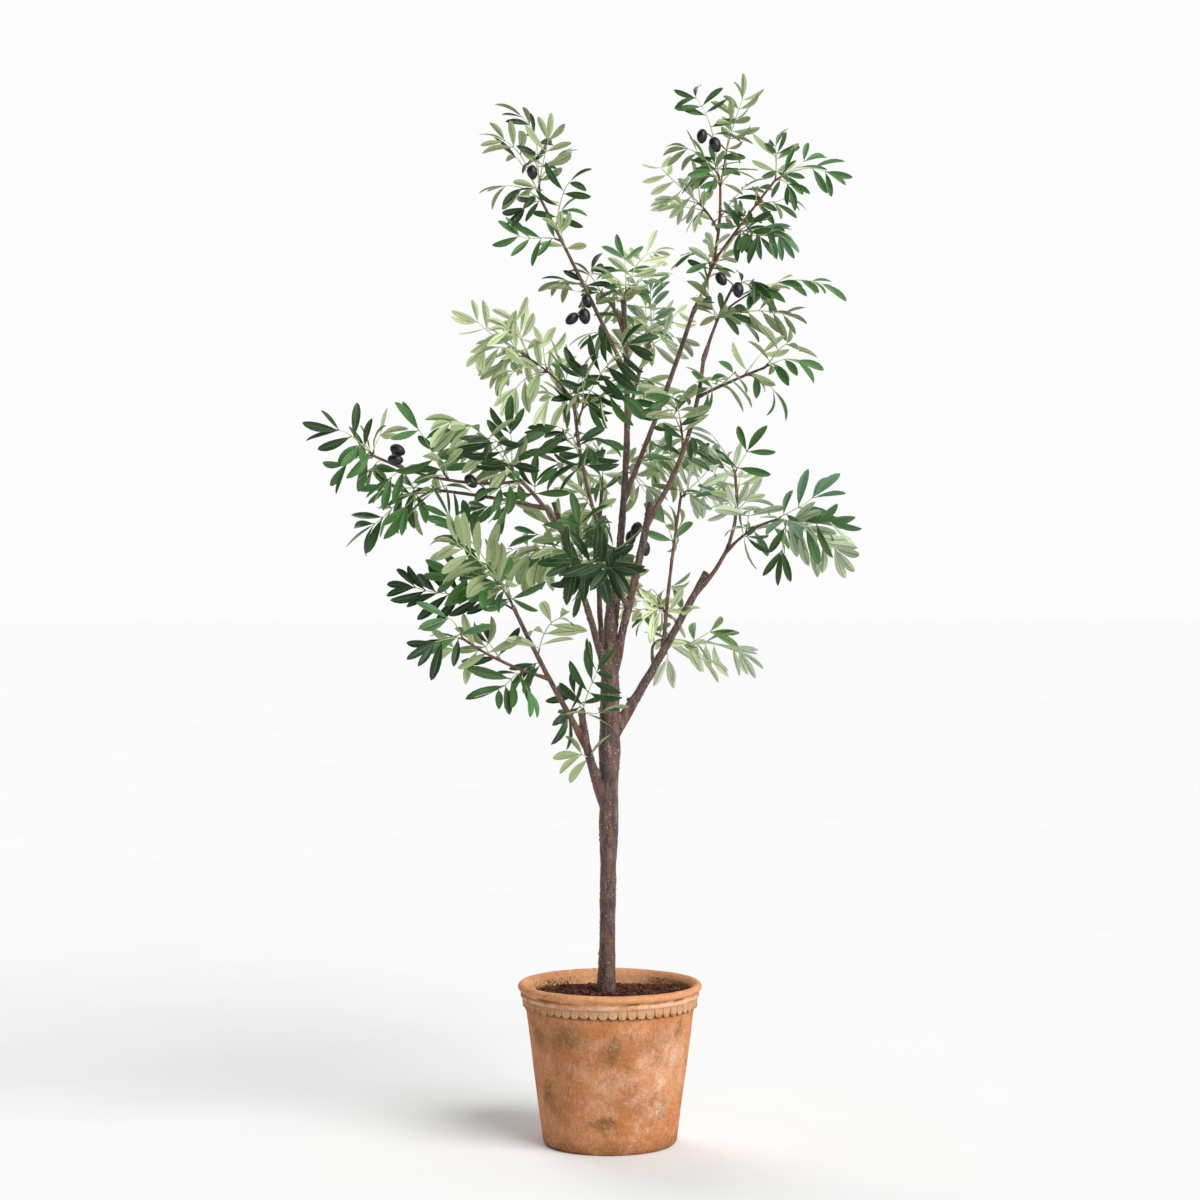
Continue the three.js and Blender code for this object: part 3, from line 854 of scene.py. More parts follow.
def measured(name, parent_line):
    """The centre line and the radii of a limb, from its foot to its tip."""
    mesh = frame["nodes"][name].data
    points = np.array([v.co for v in mesh.vertices])
    edges = np.array([e.vertices[:] for e in mesh.edges])
    corners = np.unique(points.round(6), axis=0)
    if parent_line is None:
        far = corners[:, 2]
    else:
        far = np.linalg.norm(corners[:, None] - parent_line[None], axis=2).min(axis=1)
    spread = np.linalg.norm(corners - corners[far.argmax()], axis=1)
    order = np.argsort(spread)
    in_cap = (np.diff(spread[order]) > CAP_GAP).argmax() + 1
    cap, inner = corners[order[:in_cap]].mean(axis=0), corners[order[in_cap:2 * in_cap]].mean(axis=0)
    way = unit(inner - cap)
    guess = np.linalg.norm(corners[order[0]] - cap)
    line, radii = [], []
    at = cap + way * 0.6 * guess
    while True:
        found = fitted_circle(points, edges, at, way, 2.4 * guess)
        if found is None or found[2] > 0.12 or abs(found[1] - guess) > 0.35 * guess:
            break
        if line:
            way = unit(0.6 * way + 0.4 * unit(found[0] - line[-1]))
        line.append(found[0])
        radii.append(found[1])
        guess = found[1]
        at = found[0] + way * MARCH
    line, radii = np.array(line[::-1]), np.array(radii[::-1])
    if parent_line is None:
        foot = np.array([line[0][0], line[0][1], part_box(name)[0].z])
    else:
        ahead = line[0] + way * np.linspace(0, FOOT_REACH * radii[0], 60)[:, None]
        nearest = np.linalg.norm(ahead[:, None] - parent_line[None], axis=2).min(axis=1)
        foot = ahead[nearest.argmin()]
    return np.vstack([foot, line]), np.concatenate([[radii[0]], radii])


def along(points):
    """How far each point lies along its line."""
    return np.concatenate([[0], np.cumsum(np.linalg.norm(np.diff(points, axis=0), axis=1))])


def resampled(points, values, step):
    """A line and its values at even steps, smoothed so that its bends are round."""
    reach = along(points)
    count = max(4, int(round(reach[-1] / step)) + 1)
    stations = np.linspace(0, reach[-1], count)
    found = np.stack([np.interp(stations, reach, column) for column in (*points.T, values)], axis=1)
    for _ in range(6):
        found[1:-1] = 0.25 * found[:-2] + 0.5 * found[1:-1] + 0.25 * found[2:]
    return found[:, :3], found[:, 3]


LINE_STEP = 6 * MM
limb_lines, limb_radii = {}, {}
for name, parent in GROWS_FROM.items():
    line, radii = measured(name, limb_lines.get(parent))
    limb_lines[name], limb_radii[name] = resampled(line, radii, LINE_STEP)
    length = along(limb_lines[name])[-1]
    print(f"{name}: {length:.3f} m, radius {radii[1] / MM:.1f} to {radii[-1] / MM:.1f} mm")

# %% [markdown]
# The thick limbs are one casting on the real tree, with soft webs in the forks. So their tubes are drawn as
# curves that swell at the foot, made into one mesh by a voxel remesh, and smoothed. The thin boughs keep
# their own tubes, because a remesh would eat them. Then the bark is worked into both with noise that is
# drawn out along the height: lumps, ridges, and a few pimples.

# %% Bark
THICK = ["trunk", "leader", "low_left_stub", "left_bough", "centre_right_bough", "right_bough", "back_bough"]
RUSTY = ["top_stem", "top_right_stem"]
THIN = [name for name in GROWS_FROM if name not in THICK + RUSTY]
# A bough is thicker at its foot by this share, over this many of its own radii.
COLLAR = 0.45
COLLAR_LENGTH = 3.4
VOXEL = 1.7 * MM
SUNK = 14 * MM
LONG_COLLARS = {"leader": 22, "right_bough": 6}
# How much thicker the trunk is where each of its boughs leaves, over how long a stretch, and its sawn top.
FORK_SWELLS = {"low_left_stub": 0.14, "right_bough": 0.33, "left_bough": 0.38, "back_bough": 0.3,
               "leader": 0.25}
FORK_SPAN = 70 * MM
TOP_TAPER = 12
TOP_SHARE = 0.62
# Short side stubs left on the casting: the limb, how far along it, heading in degrees, and length in mm.
NUBS = [("right_bough", 0.24, 165, 15), ("trunk", 0.33, 190, 19), ("trunk", 0.14, 20, 19),
        ("trunk", 0.56, 175, 20), ("leader", 0.3, 10, 11), ("left_bough", 0.62, 60, 12),
        ("centre_right_bough", 0.55, 0, 13)]
NUB_RADII = [7 * MM, 4.5 * MM, 3.2 * MM]


def tubes(name, lines, rounding):
    """One mesh of closed tubes, each along its own line with its own radii."""
    curve = bpy.data.curves.new(name, "CURVE")
    curve.dimensions = "3D"
    curve.bevel_depth = 1.0
    curve.bevel_resolution = rounding
    curve.use_fill_caps = True
    for points, radii in lines:
        spline = curve.splines.new("POLY")
        spline.points.add(len(points) - 1)
        spline.points.foreach_set("co", np.column_stack([points, np.ones(len(points))]).ravel())
        spline.points.foreach_set("radius", radii)
    add_object(name, curve)
    bpy.ops.object.convert(target="MESH")
    return start_piece(name)


def swollen(name):
    """A limb's line and radii: thicker where others leave it, with a collar where it leaves its parent."""
    points, radii = limb_lines[name], limb_radii[name]
    if not GROWS_FROM[name]:
        points = np.vstack([points[0] - (0, 0, SUNK), points])
        radii = np.concatenate([radii[:1], radii])
    reach = along(points)
    collar = 0
    if GROWS_FROM[name]:
        gaps = np.linalg.norm(points[:, None] - limb_lines[GROWS_FROM[name]][None], axis=2)
        clear = (gaps.min(axis=1) > limb_radii[GROWS_FROM[name]][gaps.argmin(axis=1)]).argmax()
        past = np.maximum(reach - reach[clear], 0)
        collar = COLLAR * np.exp(-(past / (LONG_COLLARS.get(name, COLLAR_LENGTH) * radii)) ** 2)
    else:
        radii[-TOP_TAPER:] *= np.linspace(1, TOP_SHARE, TOP_TAPER)
    thicker = np.zeros(len(points))
    for child, swell in FORK_SWELLS.items():
        if GROWS_FROM[child] == name:
            away = np.linalg.norm(points - limb_lines[child][0], axis=1)
            thicker = np.maximum(thicker, swell * np.exp(-(away / FORK_SPAN) ** 2))
    wavering = np.array([waves(Vector(point), 38) for point in points])
    return points, radii * (1 + collar + thicker + 0.07 * wavering)


def nub(limb, share, heading, length):
    """A short stub's line and radii, rising from the middle of its limb."""
    points = limb_lines[limb]
    at = points[int(share * (len(points) - 1))]
    turn = math.radians(heading)
    way = unit(np.array([math.cos(turn), math.sin(turn), 0.9]))
    steps = np.linspace(0, 1, 8)[:, None]
    return at + way * steps * length * MM, np.interp(steps[:, 0], [0, 0.6, 1], NUB_RADII)


def barked(place, normal):
    """A point of the bark moved along its normal."""
    drawn_out = Vector((place.x, place.y, 0.28 * place.z))
    lumps = waves(drawn_out, 14) * 0.8
    knobs = waves(place, 8, (2, 2, 7)) * 0.5
    ridges = (0.5 - abs(waves(drawn_out, 4.6, (3, 8, 2)))) * 0.7
    pimples = max(0.0, waves(place, 6, (5, 1, 9)) - 0.4) * 4.2
    return place + normal * (lumps + knobs + ridges + pimples) * MM


casting = tubes("bark_trunk", [swollen(name) for name in THICK] + [nub(*sizes) for sizes in NUBS], 6)
remesh = casting.modifiers.new("one_skin", "REMESH")
remesh.mode = "VOXEL"
remesh.voxel_size = VOXEL
smooth = casting.modifiers.new("soft_forks", "SMOOTH")
smooth.factor = 0.6
smooth.iterations = 5
apply_all(casting)
move_points(casting, barked)
bpy.ops.object.shade_smooth()

boughs = tubes("bark_boughs", [swollen(name) for name in THIN], 4)
move_points(boughs, roughened(9, 0.5))
bpy.ops.object.shade_smooth_by_angle(angle=math.radians(50))
stems = tubes("rusty_stems", [swollen(name) for name in RUSTY], 4)
move_points(stems, roughened(9, 0.4))
bpy.ops.object.shade_smooth_by_angle(angle=math.radians(50))
print("bark points:", len(casting.data.vertices), "and", len(boughs.data.vertices))

# %% [markdown]
# Moulded bark is painted plastic: red-brown, dabbed with darker and greyer paint in upright streaks, and
# flecked with cream. The grey streaks are partly painted sheen, and the cream flecks are partly painted
# highlights on pimples too small to model. It is matt, with a slight shine on the ridges. The youngest
# stems are rust-coloured.

# %% Bark paint
UPRIGHT = (1, 1, 0.3)
STREAKED = (1, 1, 0.2)


def painted_bark(name, body, dark, warm, grey_amount):
    """Body colour, warmer and darker paint, grey streaks partly painted sheen, cream flecks partly painted
    highlights.
    """
    material, tree, shader, place = new_material(name, body, 0.44, 0.55)
    colour = over(tree, body, warm, cloud(tree, place, 18, 0.42, 0.6, 6, 0.65, UPRIGHT))
    colour = over(tree, colour, dark, cloud(tree, place, 10, 0.44, 0.62, 7, 0.7, UPRIGHT), 0.75)
    # The grey streaks are partly paint and partly painted sheen.
    grey_streaks_and_sheen = cloud(tree, place, 7, 0.5, 0.68, 6, 0.66, STREAKED, shift=(0.3, 1.7, 0.2))
    colour = over(tree, colour, "#94867c", grey_streaks_and_sheen, grey_amount)
    # The cream flecks are partly pale specks in the paint and partly painted highlights on the pimples.
    flecks_and_glints, patches = cloud(tree, place, 2.9, 0.67, 0.71, 1, 0.5), cloud(tree, place, 42, 0.4, 0.54, 3)
    colour = over(tree, colour, "#d0c0aa", flecks_and_glints, patches, 0.85)
    ridges = cloud(tree, place, 3.6, 0.3, 0.7, 5, 0.65, UPRIGHT)
    pores = cloud(tree, place, 2.4, 0.55, 0.75, 2)
    wire(tree, shader, {"Base Color": colour, "Normal": relief(tree, (ridges, 0.9), (pores, 0.6))})
    return material


finish_piece(casting, [painted_bark("painted_bark", "#533e36", "#291e1a", "#6b4337", 0.5)], THICK)
finish_piece(boughs, [painted_bark("dark_bough_bark", "#61463a", "#35241e", "#815441", 0.3)], THIN)
finish_piece(stems, [painted_bark("rusty_stem_bark", "#7c3a22", "#4a2418", "#98502c", 0.1)], RUSTY)

# %% [markdown]
# One leaf is a narrow blade on a short stalk, widest a little past its middle, folded in a shallow V along
# its rib, and curled. It is a grid of seven cells by three whose points are set from the outline, and the
# middle row of cells is the rib. A Solidify modifier gives it an underside of its own colour. Four curls
# are made, and every leaf on the tree is its own blend of the four.

# %% One leaf, four ways
LEAF_LENGTH = 80 * MM
LEAF_CELLS = 7
# How far along the leaf each cross-line lies, and half the leaf's width there, both as shares of its length.
LEAF_STATIONS = [(0, 0.011), (0.09, 0.014), (0.22, 0.058), (0.4, 0.1), (0.58, 0.119), (0.76, 0.11),
                 (0.92, 0.068), (1, 0.012)]
RIB_SHARE = 0.11
LEAF_THICKNESS = 0.45 * MM
RIB = 2
# How far each of the four is curled down, twisted, and folded along its rib.
LEAF_BENDS = [(0.06, 0.25, 0.5), (0.3, -0.5, 0.25), (-0.08, 0.6, 0.4), (0.56, -0.1, 0.6)]


def leaf_shape(curl, twist, fold):
    """A leaf's points, faces and face kinds: 0 and 1 for the blade's two sides, 2 and 3 for the rib's."""
    bpy.ops.object.select_all(action="DESELECT")
    bpy.ops.mesh.primitive_grid_add(x_subdivisions=LEAF_CELLS, y_subdivisions=3, size=2)
    leaf = start_piece("leaf_pattern")

    def outlined(place, normal):
        share, half = LEAF_STATIONS[round((place.x + 1) / 2 * LEAF_CELLS)]
        across = math.copysign(1 if abs(place.y) > 0.5 else RIB_SHARE, place.y) * half
        turn = twist * share
        lift = fold * abs(across) - curl * share ** 2
        return LEAF_LENGTH * Vector((share - 0.35 * curl * share ** 3,
                                     across * math.cos(turn) - lift * math.sin(turn),
                                     across * math.sin(turn) + lift * math.cos(turn)))

    middle = [face.index for face in leaf.data.polygons if abs(face.center.y) < 0.1]
    move_points(leaf, outlined)
    for index in middle:
        leaf.data.polygons[index].material_index = RIB
    body = leaf.modifiers.new("body", "SOLIDIFY")
    body.thickness = LEAF_THICKNESS
    body.offset = -1
    body.material_offset = 1
    body.material_offset_rim = 1
    for _ in range(4):
        leaf.data.materials.append(None)
    apply_all(leaf)
    points = np.array([v.co for v in leaf.data.vertices])
    faces = np.array([f.vertices[:] for f in leaf.data.polygons])
    kinds = np.array([f.material_index for f in leaf.data.polygons])
    bpy.data.objects.remove(leaf)
    return points, faces, kinds


made = [leaf_shape(*bends) for bends in LEAF_BENDS]
LEAF_SHAPES = np.array([points for points, faces, kinds in made])
LEAF_FACES, LEAF_KINDS = made[0][1:]
print("leaf faces:", len(LEAF_FACES))

# %% [markdown]
# The crown grows by one rule. Each lump of foliage in the fixed model gives a handful of tips, spread
# evenly over its surface. The first is the farthest from the limb, and a mother twig grows to it. Every
# other tip is joined to the point of the limb or of the twigs so far that it can be reached from with the
# least length and the least turning back. The last stretch of each path is the leafy spray. The lumps at
# the back grow last, and only behind foliage that is there already, so that the openings in the crown stay
# open from the front.

# %% How full each lump is, and which way it looks
# Lumps that are fuller or thinner than the rest.
FULLNESS = {"right_outer": 1.15, "right_centre": 1.2, "low_back": 1.8, "mid_left": 1.3, "mid_left_top": 1.6,
            "left_mid": 1.2, "front_cluster": 0.65, "upper_centre": 1.15, "top_tip": 1.15,
            "top_left_pale": 1.1, "upper_left_mid": 0.65, "upper_left_tip": 1.4, "top_right_outer": 1.2,
            "upper_right_mid": 1.1, "right_upper_outer": 0.95, "centre_right_front": 0.85,
            "left_lower": 0.6, "far_left_upper": 1.25, "low_left_mid": 0.75, "low_left_tip": 0.6,
            "centre_left_front": 0.95, "back_left": 1.3, "back_right": 1.3, "back_upper": 1.1}
# How many of a lump's sprays turn their backs to the front, where that isn't usual for its finish.
PALE_SHARES = {"top_tip": 0.35, "right_upper_outer": 0.4, "upper_left_tip": 0.15,
               "upper_left_mid": 0.35, "front_cluster": 0.0, "left_mid": 0.18, "mid_left": 0.2,
               "far_left_upper": 0.06, "far_left_lower": 0.2, "left_lower": 0.2, "right_outer": 0.2,
               "right_centre": 0.45, "low_right_back": 0.95, "low_back": 0.95, "upper_centre": 0.75,
               "mid_left_top": 0.75, "top_right_outer": 0.08, "centre_left_front": 0.08,
               "back_left": 0.75, "right_mid_upper": 0.45}
# Lumps whose sprays mostly face the front, however high they are, and those of crossed pairs.
FACE_ON = ["centre_left_front", "centre_right_front", "front_cluster", "top_right_inner", "top_right_outer",
           "left_upper", "left_mid", "right_centre", "low_left_inner"]
ROSETTES = ["front_cluster"]
# Between which heights a lump's tips are, where that isn't its whole height.
TIP_HEIGHTS = {"back_left": (1.12, 3), "front_cluster": (1.1, 3), "low_back": (1.05, 3),
               "top_right_inner": (1.79, 3), "right_upper_outer": (0, 1.72), "upper_right_mid": (0, 1.73),
               "upper_centre": (1.73, 3), "mid_left_top": (1.47, 3), "centre_right_front": (0, 1.5)}

slot_of = {part["node"]: part["material_slot"] for part in frame["record"]["subparts"]}
MASSES = [name for name in frame["nodes"] if slot_of[name] in ("leaf_dark", "leaf_pale")]
MASSES.sort(key=lambda name: name.startswith("back_"))
print("lumps of foliage:", len(MASSES))

# %% [markdown]
# A twig leaves its limb the way the limb is heading and bends over to its tip, where it droops or rises.
# Tips are looked for at random on a lump's surface, clear of the limbs. The tops of a spray's leaves look to
# the back, up or to the front, as often as its lump's finish and height say.

# %% How a twig grows
PATH_STEP = 5 * MM
NEAR_LIMB = 16 * MM
rng = np.random.default_rng(SEED)


def tangents(points):
    ways = np.gradient(points, axis=0)
    return ways / np.linalg.norm(ways, axis=1, keepdims=True)


limb_places = np.vstack([line[len(line) // 4:] for line in limb_lines.values()])
limb_ways = np.vstack([tangents(line)[len(line) // 4:] for line in limb_lines.values()])


def on_surface(name, count):
    """Points spread at random over a lump, and the lump's area."""
    mesh = frame["nodes"][name].data
    mesh.calc_loop_triangles()
    corners = np.array([[mesh.vertices[i].co for i in t.vertices] for t in mesh.loop_triangles])
    sides = corners[:, 1:] - corners[:, :1]
    areas = np.linalg.norm(np.cross(sides[:, 0], sides[:, 1]), axis=1) / 2
    picked = rng.choice(len(corners), size=count, p=areas / areas.sum())
    shares = rng.uniform(size=(count, 2, 1))
    outside = shares.sum(axis=1)[:, 0] > 1
    shares[outside] = 1 - shares[outside]
    places = corners[picked, 0] + (sides[picked] * shares).sum(axis=1)
    clear = np.linalg.norm(places[:, None] - limb_places[None], axis=2).min(axis=1) > NEAR_LIMB
    return places[clear], areas.sum()


def best_start(places, ways, goal):
    """The place to branch from: near the goal, and heading more or less towards it."""
    offsets = goal - places
    reach = np.linalg.norm(offsets, axis=1)
    turning = 1 - (offsets * ways).sum(axis=1) / np.maximum(reach, 1e-9)
    return (reach * (0.45 + turning)).argmin()


def grown(start, way, goal, droop):
    """A curved path from a start, leaving along `way`, to a goal that it reaches drooping or rising."""
    reach = np.linalg.norm(goal - start)
    ahead = (goal - start) / reach
    first = start + unit(0.55 * way + ahead + np.array([0, 0, 0.25])) * reach * 0.36
    last = goal - unit(ahead + np.array([0, 0, droop])) * reach * 0.34
    t = np.linspace(0, 1, max(5, int(reach / PATH_STEP)))[:, None]
    return (1 - t) ** 3 * start + 3 * (1 - t) ** 2 * t * first + 3 * (1 - t) * t ** 2 * last + t ** 3 * goal


def facing(name, tip):
    """Which way the tops of a spray's leaves look: to the back, up (more so high up), or to the front."""
    pale = PALE_SHARES.get(name, 0.6 if slot_of[name] == "leaf_pale" else 0.1)
    up = (1 - pale) * (0.15 if name in FACE_ON else np.interp(tip[2], [1.05, 1.9], [0.18, 0.7]))
    across = 0.5 * tip[0]
    ways = [(across, 0.8, 0.35), (across, 0.0, 1.0), (across, -0.8, 0.5)]
    return unit(rng.choice(ways, p=(pale, up, 1 - pale - up)) + rng.normal(0, 0.28, 3))


print("places to grow from:", len(limb_places))

# %% [markdown]
# Then the crown is grown, lump by lump. Each tip is the candidate that is farthest from all tips so far, so
# that the sprays spread evenly, and it is drawn in a little so that its leaves end near the lump's surface.

# %% The crown grown
TIP_SPACING = 126 * MM
FEWEST_TIPS = 3
CANDIDATES = 500
TIP_INSET = 52 * MM
LEAFY_LENGTHS = (112 * MM, 180 * MM)
# How close to foliage in front a tip at the back has to be, and how close a limb has to be to grow twigs.
BEHIND = 45 * MM
WITHIN_REACH = 0.16
MOTHER_TWIG, SIDE_TWIG = 2.5 * MM, 1.8 * MM

sprays = []
twig_lines = []
leafy_places = np.zeros((0, 3))
for name in MASSES:
    candidates, area = on_surface(name, CANDIDATES)
    lowest, highest = TIP_HEIGHTS.get(name, (0, 3))
    candidates = candidates[(candidates[:, 2] > lowest) & (candidates[:, 2] < highest)]
    if name.startswith("back_"):
        gaps = np.linalg.norm(candidates[:, None, ::2] - leafy_places[None, :, ::2], axis=2).min(axis=1)
        candidates = candidates[gaps < BEHIND]
    middle = candidates.mean(axis=0)
    count = max(FEWEST_TIPS, round(FULLNESS.get(name, 1) * area / TIP_SPACING ** 2))
    root = best_start(limb_places, limb_ways, middle)
    places, ways = limb_places[root:root + 1], limb_ways[root:root + 1]
    nearby = np.linalg.norm(limb_places - middle, axis=1) < WITHIN_REACH
    spread = np.linalg.norm(candidates - places[0], axis=1)
    for number in range(count):
        tip = candidates[spread.argmax()]
        spread = np.minimum(spread if number else np.inf, np.linalg.norm(candidates - tip, axis=1))
        if number == 1:
            places, ways = np.vstack([places, limb_places[nearby]]), np.vstack([ways, limb_ways[nearby]])
        start = best_start(places, ways, tip)
        inward = unit(places[start] - tip)
        goal = tip + inward * min(TIP_INSET, 0.4 * np.linalg.norm(places[start] - tip))
        path = grown(places[start], ways[start], goal, rng.uniform(-0.8, 0.35))
        reach = along(path)
        leafy = min(rng.uniform(*LEAFY_LENGTHS), 0.86 * reach[-1])
        bare = reach < reach[-1] - leafy
        radius = SIDE_TWIG if number else MOTHER_TWIG
        twig_lines.append((path, radius * (1 - 0.55 * reach / reach[-1]), bare.sum()))
        places, ways = np.vstack([places, path[bare]]), np.vstack([ways, tangents(path)[bare]])
        looks = facing(name, tip)
        hang = 0.1 if name in ROSETTES else rng.uniform(0, 0.7)
        size = np.interp(tip[2], [1.2, 1.9], [1.02, 0.86]) * np.interp(tip[1], [-0.15, 0.1], [1.1, 0.94])
        sprays.append({"mass": name, "path": path, "leafy": leafy, "looks": looks, "hang": hang,
                       "size": size})
        leafy_places = np.vstack([leafy_places, path[~bare][::4]])
print("masses:", len(MASSES), "sprays:", len(sprays))

# %% [markdown]
# Olives hang in twos and threes where the twigs fork. Their places are settled before the leaves are laid,
# because a leaf that would lie close over an olive is left out.

# %% Where the olives hang
OLIVE_LENGTH = 32 * MM
OLIVE_WIDTH = 22 * MM
# Each cluster's olives: the place of the middle, right, back and up in mm, and how many degrees the lower end
# leans to the right.
OLIVES = [[(183, 70, 1994, -6), (209, 66, 1977, 20)], [(219, 10, 1706, 32), (252, 5, 1684, 4)],
          [(-45, 18, 1663, 20), (-75, 14, 1628, -50), (-50, 0, 1632, 10)], [(-153, 8, 1915, 10)],
          [(-410, -110, 1366, 65), (-413, -128, 1347, 84)], [(-268, -126, 1306, 40), (-249, -108, 1280, -40)],
          [(41, 10, 1196, -6), (68, 6, 1176, 12), (52, 18, 1214, -30)]]
# Half the room round an olive that no leaf may reach into, deepest from front to back.
FRUIT_ROOM = np.array([17, 52, 17]) * MM
fruit_places = np.array([olive[:3] for cluster in OLIVES for olive in cluster]) * MM
print("olives:", len(fruit_places))

# %% [markdown]
# A spray is a thin stem with leaves in opposite pairs and one at the end. The leaves lie close to one
# plane, with their tops out, wide apart at the foot of the spray and folding forward towards its tip. The
# middle pairs are the longest. Bare twigs carry a few pairs of their own. In the rosettes at the front of
# the crown every second pair stands across the one below it, and all tops look up the stem.

# %% Leaves on the sprays
PAIR_SPACING = 21 * MM
ROSETTE_SPACING = 14 * MM
MISSING = 0.07
# Pairs on bare twigs: how far apart they may be, how many are there, and how low.
TWIG_PAIR_SPACING = 46 * MM
STRAY_LEAVES = 0.4
LOWEST_STRAY = 0.78
UPWARD = np.array([0, 0, 1.0])


def leaf_frame(way, looks, angle, side, rise, roll, hang, round_stem):
    """The turn of a leaf that leaves a stem to one side and hangs. Its top looks out, or up the stem."""
    up = square_to(way, looks)
    across = np.cross(up, way)
    ahead = unit(math.cos(angle) * way + side * math.sin(angle) * across + rise * up - hang * UPWARD)
    top = square_to(ahead, way if round_stem else up)
    third = np.cross(top, ahead)
    top = top * math.cos(roll) + third * math.sin(roll)
    return np.stack([ahead, np.cross(top, ahead), top], axis=1)


def at_reach(path, reach, wanted):
    index = min(int(np.searchsorted(reach, wanted)), len(path) - 1)
    return path[index], tangents(path)[index]


def leaves_of(spray):
    """Every leaf of one spray, as its place and its turn with its size in it."""
    path, leafy, looks = spray["path"], spray["leafy"], spray["looks"]
    rosette = spray["mass"] in ROSETTES
    reach = along(path)
    found = []

    def add(wanted, angle, side, size, looks=looks):
        place, way = at_reach(path, reach, wanted)
        rise, roll = rng.normal(0.08, 0.2), rng.normal(0, 0.42)
        turn = leaf_frame(way, looks, angle, side, rise, roll, spray["hang"], rosette)
        found.append((place, turn * size * spray["size"] * rng.uniform(0.86, 1.1)))

    pairs = max(2, round(leafy / (ROSETTE_SPACING if rosette else PAIR_SPACING)))
    for number in range(pairs):
        share = number / (pairs - 1)
        wanted = reach[-1] - leafy * 0.94 * (1 - share)
        size = 0.68 + 0.3 * math.sin(math.pi * (0.2 + 0.68 * share))
        out = np.cross(at_reach(path, reach, wanted)[1], looks) if rosette and number % 2 else looks
        for side in (-1, 1):
            if rng.uniform() > MISSING:
                add(wanted + rng.uniform(-3, 3) * MM, rng.normal(1.12 - 0.55 * share, 0.12), side, size, out)
    add(reach[-1], rng.normal(0, 0.15), 1, 0.86)
    for wanted in np.arange(reach[-1] - leafy - 30 * MM, 14 * MM, -TWIG_PAIR_SPACING):
        if rng.uniform() < STRAY_LEAVES and at_reach(path, reach, wanted)[0][2] > LOWEST_STRAY:
            for side in (-1, 1):
                add(wanted, rng.normal(0.95, 0.15), side, rng.uniform(0.72, 0.92))
    return found


print("a spray has up to", 2 * round(LEAFY_LENGTHS[1] / PAIR_SPACING) + 1, "leaves")

# %% [markdown]
# The leaves come from eight print runs, and each spray is of one run. A lump has its own mix of them: deep
# greens at the front and in the middle, silver and frost on the right, whose lighter, cooler tops are painted
# sheen, and lime where sun falls on the backs, whose brighter colours are partly painted light shining
# through. A leaf that would reach out of the tree's own room, or lie over an olive, is left out.

# %% Leaves dealt out
# How far leaves may stand proud of the fixed model's box: a share of each side, and a little more.
PROUD_SHARE = 0.025
PROUD = 8 * MM
# Each print run's colours, on top and beneath. Silver and frost are lighter and cooler as painted sheen,
# and lime is brighter, partly as painted light shining through the leaves.
LEAF_TINTS = {"deep": ("#294521", "#97a577"), "bottle": ("#22391f", "#8f9c72"),
              "moss": ("#36582a", "#a3b183"), "grass": ("#447036", "#b0bf8f"),
              "sage": ("#537c49", "#b9c898"), "silver_sheen": ("#5b8060", "#b6c4a6"),
              "frost_sheen": ("#789a80", "#c6d1b6"), "lime_backlit": ("#6f8e4e", "#cfdbae")}
# The runs that each lump has, and otherwise those of its finish.
TINTS = {"leaf_dark": ["deep", "moss", "moss", "bottle", "grass", "grass", "sage"],
         "leaf_pale": ["sage", "sage", "lime_backlit", "grass", "frost_sheen"],
         "front_cluster": ["deep", "deep", "moss", "bottle", "grass"],
         "centre_left_front": ["moss", "grass", "deep", "moss", "bottle"],
         "right_outer": ["silver_sheen", "silver_sheen", "frost_sheen", "sage", "moss"],
         "right_centre": ["silver_sheen", "frost_sheen", "sage", "grass"],
         "top_right_outer": ["grass", "sage", "silver_sheen", "moss"],
         "top_right_inner": ["grass", "moss", "silver_sheen"], "low_right_back": ["lime_backlit", "lime_backlit", "frost_sheen"],
         "low_back": ["lime_backlit"], "upper_centre": ["lime_backlit", "sage"], "mid_left_top": ["sage", "lime_backlit", "grass"]}


def region(name):
    """The leaf piece that a lump's leaves go to."""
    low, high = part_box(name)
    middle = (low + high) / 2
    if slot_of[name] == "leaf_pale":
        return "back_leaves"
    if middle.z > 1.5:
        return "upper_leaves"
    return "left_leaves" if middle.x < 0 else "right_leaves"


low_limit, high_limit = (np.array(corner) for corner in cad_box)
room = (high_limit - low_limit) * PROUD_SHARE + PROUD
low_limit, high_limit = low_limit - room, high_limit + room
leaf_sets = {}
for spray in sprays:
    mass = spray["mass"]
    group = leaf_sets.setdefault(region(mass), [])
    tint = list(LEAF_TINTS).index(rng.choice(TINTS.get(mass, TINTS[slot_of[mass]])))
    for place, turn in leaves_of(spray):
        shape = np.tensordot(rng.dirichlet([0.7] * len(LEAF_SHAPES)), LEAF_SHAPES, axes=1)
        points = shape @ turn.T + place
        inside = (points.min(axis=0) > low_limit).all() and (points.max(axis=0) < high_limit).all()
        gaps = np.linalg.norm((points[:, None] - fruit_places) / FRUIT_ROOM, axis=2)
        if inside and gaps.min() > 1:
            group.append((shape, tint, place, turn))
print("leaves:", {name: len(group) for name, group in leaf_sets.items()})

# %% [markdown]
# The leaves are printed polyester, dipped in a soft vinyl: dark and slightly shiny on top, pale sage and
# matt beneath. Each side of each run has its own material, and weave and veins show as a fine bump, drawn
# coarser than they are so that it can be seen. The rib is a raised thread, lighter on top and darker
# beneath.

# %% Leaf materials


def leaf_cloth(name, colour, roughness, specular):
    """Printed cloth, whose weave and veins are a fine bump."""
    material, tree, shader, place = new_material(name, colour, roughness, specular)
    wire(tree, shader, {"Normal": relief(tree, (cloud(tree, place, 3.2, 0.3, 0.7, 3, 0.6), 0.28))})
    return material


